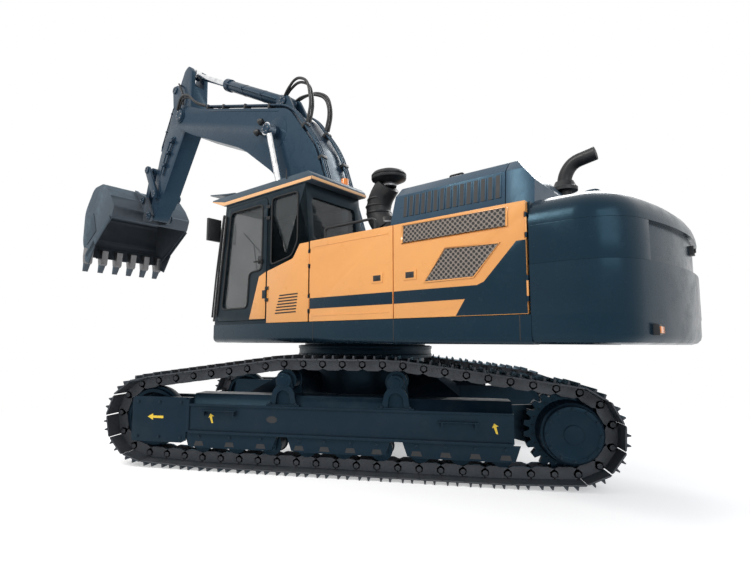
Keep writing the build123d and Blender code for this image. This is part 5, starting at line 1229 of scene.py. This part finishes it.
def backdrop_rays(tree):
    """One for the rays that show the white backdrop: camera, glossy and transmission."""
    path = add(tree, "ShaderNodeLightPath")
    total = path.outputs["Is Camera Ray"]
    for name in ("Is Glossy Ray", "Is Transmission Ray"):
        both = add(tree, "ShaderNodeMath", operation="MAXIMUM")
        link(tree, total, both.inputs[0])
        link(tree, path.outputs[name], both.inputs[1])
        total = both.outputs[0]
    return total


def mix_shader(tree, factor, first, second):
    node = add(tree, "ShaderNodeMixShader")
    for index, source in enumerate((factor, first, second)):
        link(tree, source, node.inputs[index])
    return node.outputs[0]


def emission(tree, strength):
    node = add(tree, "ShaderNodeEmission")
    tune(node, Strength=strength)
    return node.outputs[0]


floor_mesh = bpy.data.meshes.new("floor")
floor_bm = bmesh.new()
bmesh.ops.create_grid(floor_bm, x_segments=1, y_segments=1, size=FLOOR_HALF)
floor_bm.to_mesh(floor_mesh)
floor_bm.free()
floor = bpy.data.objects.new("floor", floor_mesh)
scene.collection.objects.link(floor)
floor_mat, tree, shader = material("floor_pale")
tune(shader, Base_Color=(0.82, 0.82, 0.82, 1), Roughness=0.9, Specular_IOR_Level=0.1)
distance = add(tree, "ShaderNodeVectorMath", operation="LENGTH")
link(tree, object_place(tree), distance.inputs[0])
fade = add(tree, "ShaderNodeMapRange")
tune(fade, From_Min=FADE_START, From_Max=FADE_END)
link(tree, distance.outputs["Value"], fade.inputs["Value"])
lifted = add(tree, "ShaderNodeAddShader")
link(tree, shader.outputs[0], lifted.inputs[0])
link(tree, emission(tree, FLOOR_LIFT), lifted.inputs[1])
seen = mix_shader(tree, fade.outputs["Result"], lifted.outputs[0], emission(tree, 1.0))
surface = mix_shader(tree, backdrop_rays(tree), shader.outputs[0], seen)
link(tree, surface, tree.nodes["Material Output"].inputs["Surface"])
floor_mesh.materials.append(floor_mat)

world = bpy.data.worlds.new("studio")
scene.world = world
world.use_nodes = True
tree = world.node_tree
studio = tree.nodes["Background"]
tune(studio, Color=(0.93, 0.95, 1.0, 1), Strength=STUDIO_STRENGTH)
white = add(tree, "ShaderNodeBackground")
tune(white, Color=WHITE, Strength=1.0)
surface = mix_shader(tree, backdrop_rays(tree), studio.outputs[0], white.outputs[0])
link(tree, surface, tree.nodes["World Output"].inputs["Surface"])


def area_light(name, at, target, size, power, colour=(1, 1, 1)):
    data = bpy.data.lights.new(name, "AREA")
    data.size = size
    data.energy = power
    data.color = colour
    lamp = bpy.data.objects.new(name, data)
    lamp.location = at
    lamp.rotation_mode = "QUATERNION"
    lamp.rotation_quaternion = (Vector(target) - Vector(at)).to_track_quat("-Z", "Y")
    scene.collection.objects.link(lamp)


area_light("key", (9, -9, 14), (0, -1, 2), 6, 1500, (1.0, 0.97, 0.92))
area_light("fill", (13, 7, 7), (0, 0, 2), 8, 500, (0.92, 0.96, 1.0))
area_light("rim", (-9, 6, 12), (0, 0, 2), 6, 900)

camera_data = bpy.data.cameras.new("camera")
camera = bpy.data.objects.new("camera", camera_data)
scene.collection.objects.link(camera)
camera_data.sensor_fit = "HORIZONTAL"
camera_data.sensor_width = 36
camera_data.lens = 23.11
camera_data.shift_x = 0.0389
camera_data.shift_y = 0.0088
camera_data.clip_end = 300
ahead = Vector((-0.97713, -0.18625, 0.1027)).normalized()
right = Vector((-0.18724, 0.98232, 0)).normalized()
above = right.cross(ahead).normalized()
roll = radians(0.332)
right_rolled = right * cos(roll) + above * sin(roll)
above_rolled = above * cos(roll) - right * sin(roll)
turn = Matrix((right_rolled, above_rolled, -ahead)).transposed()
camera.rotation_mode = "QUATERNION"
camera.rotation_quaternion = turn.to_quaternion()
camera.location = (6.5988, 0.9869, 1.3734)
scene.camera = camera

scene.view_settings.view_transform = "Standard"
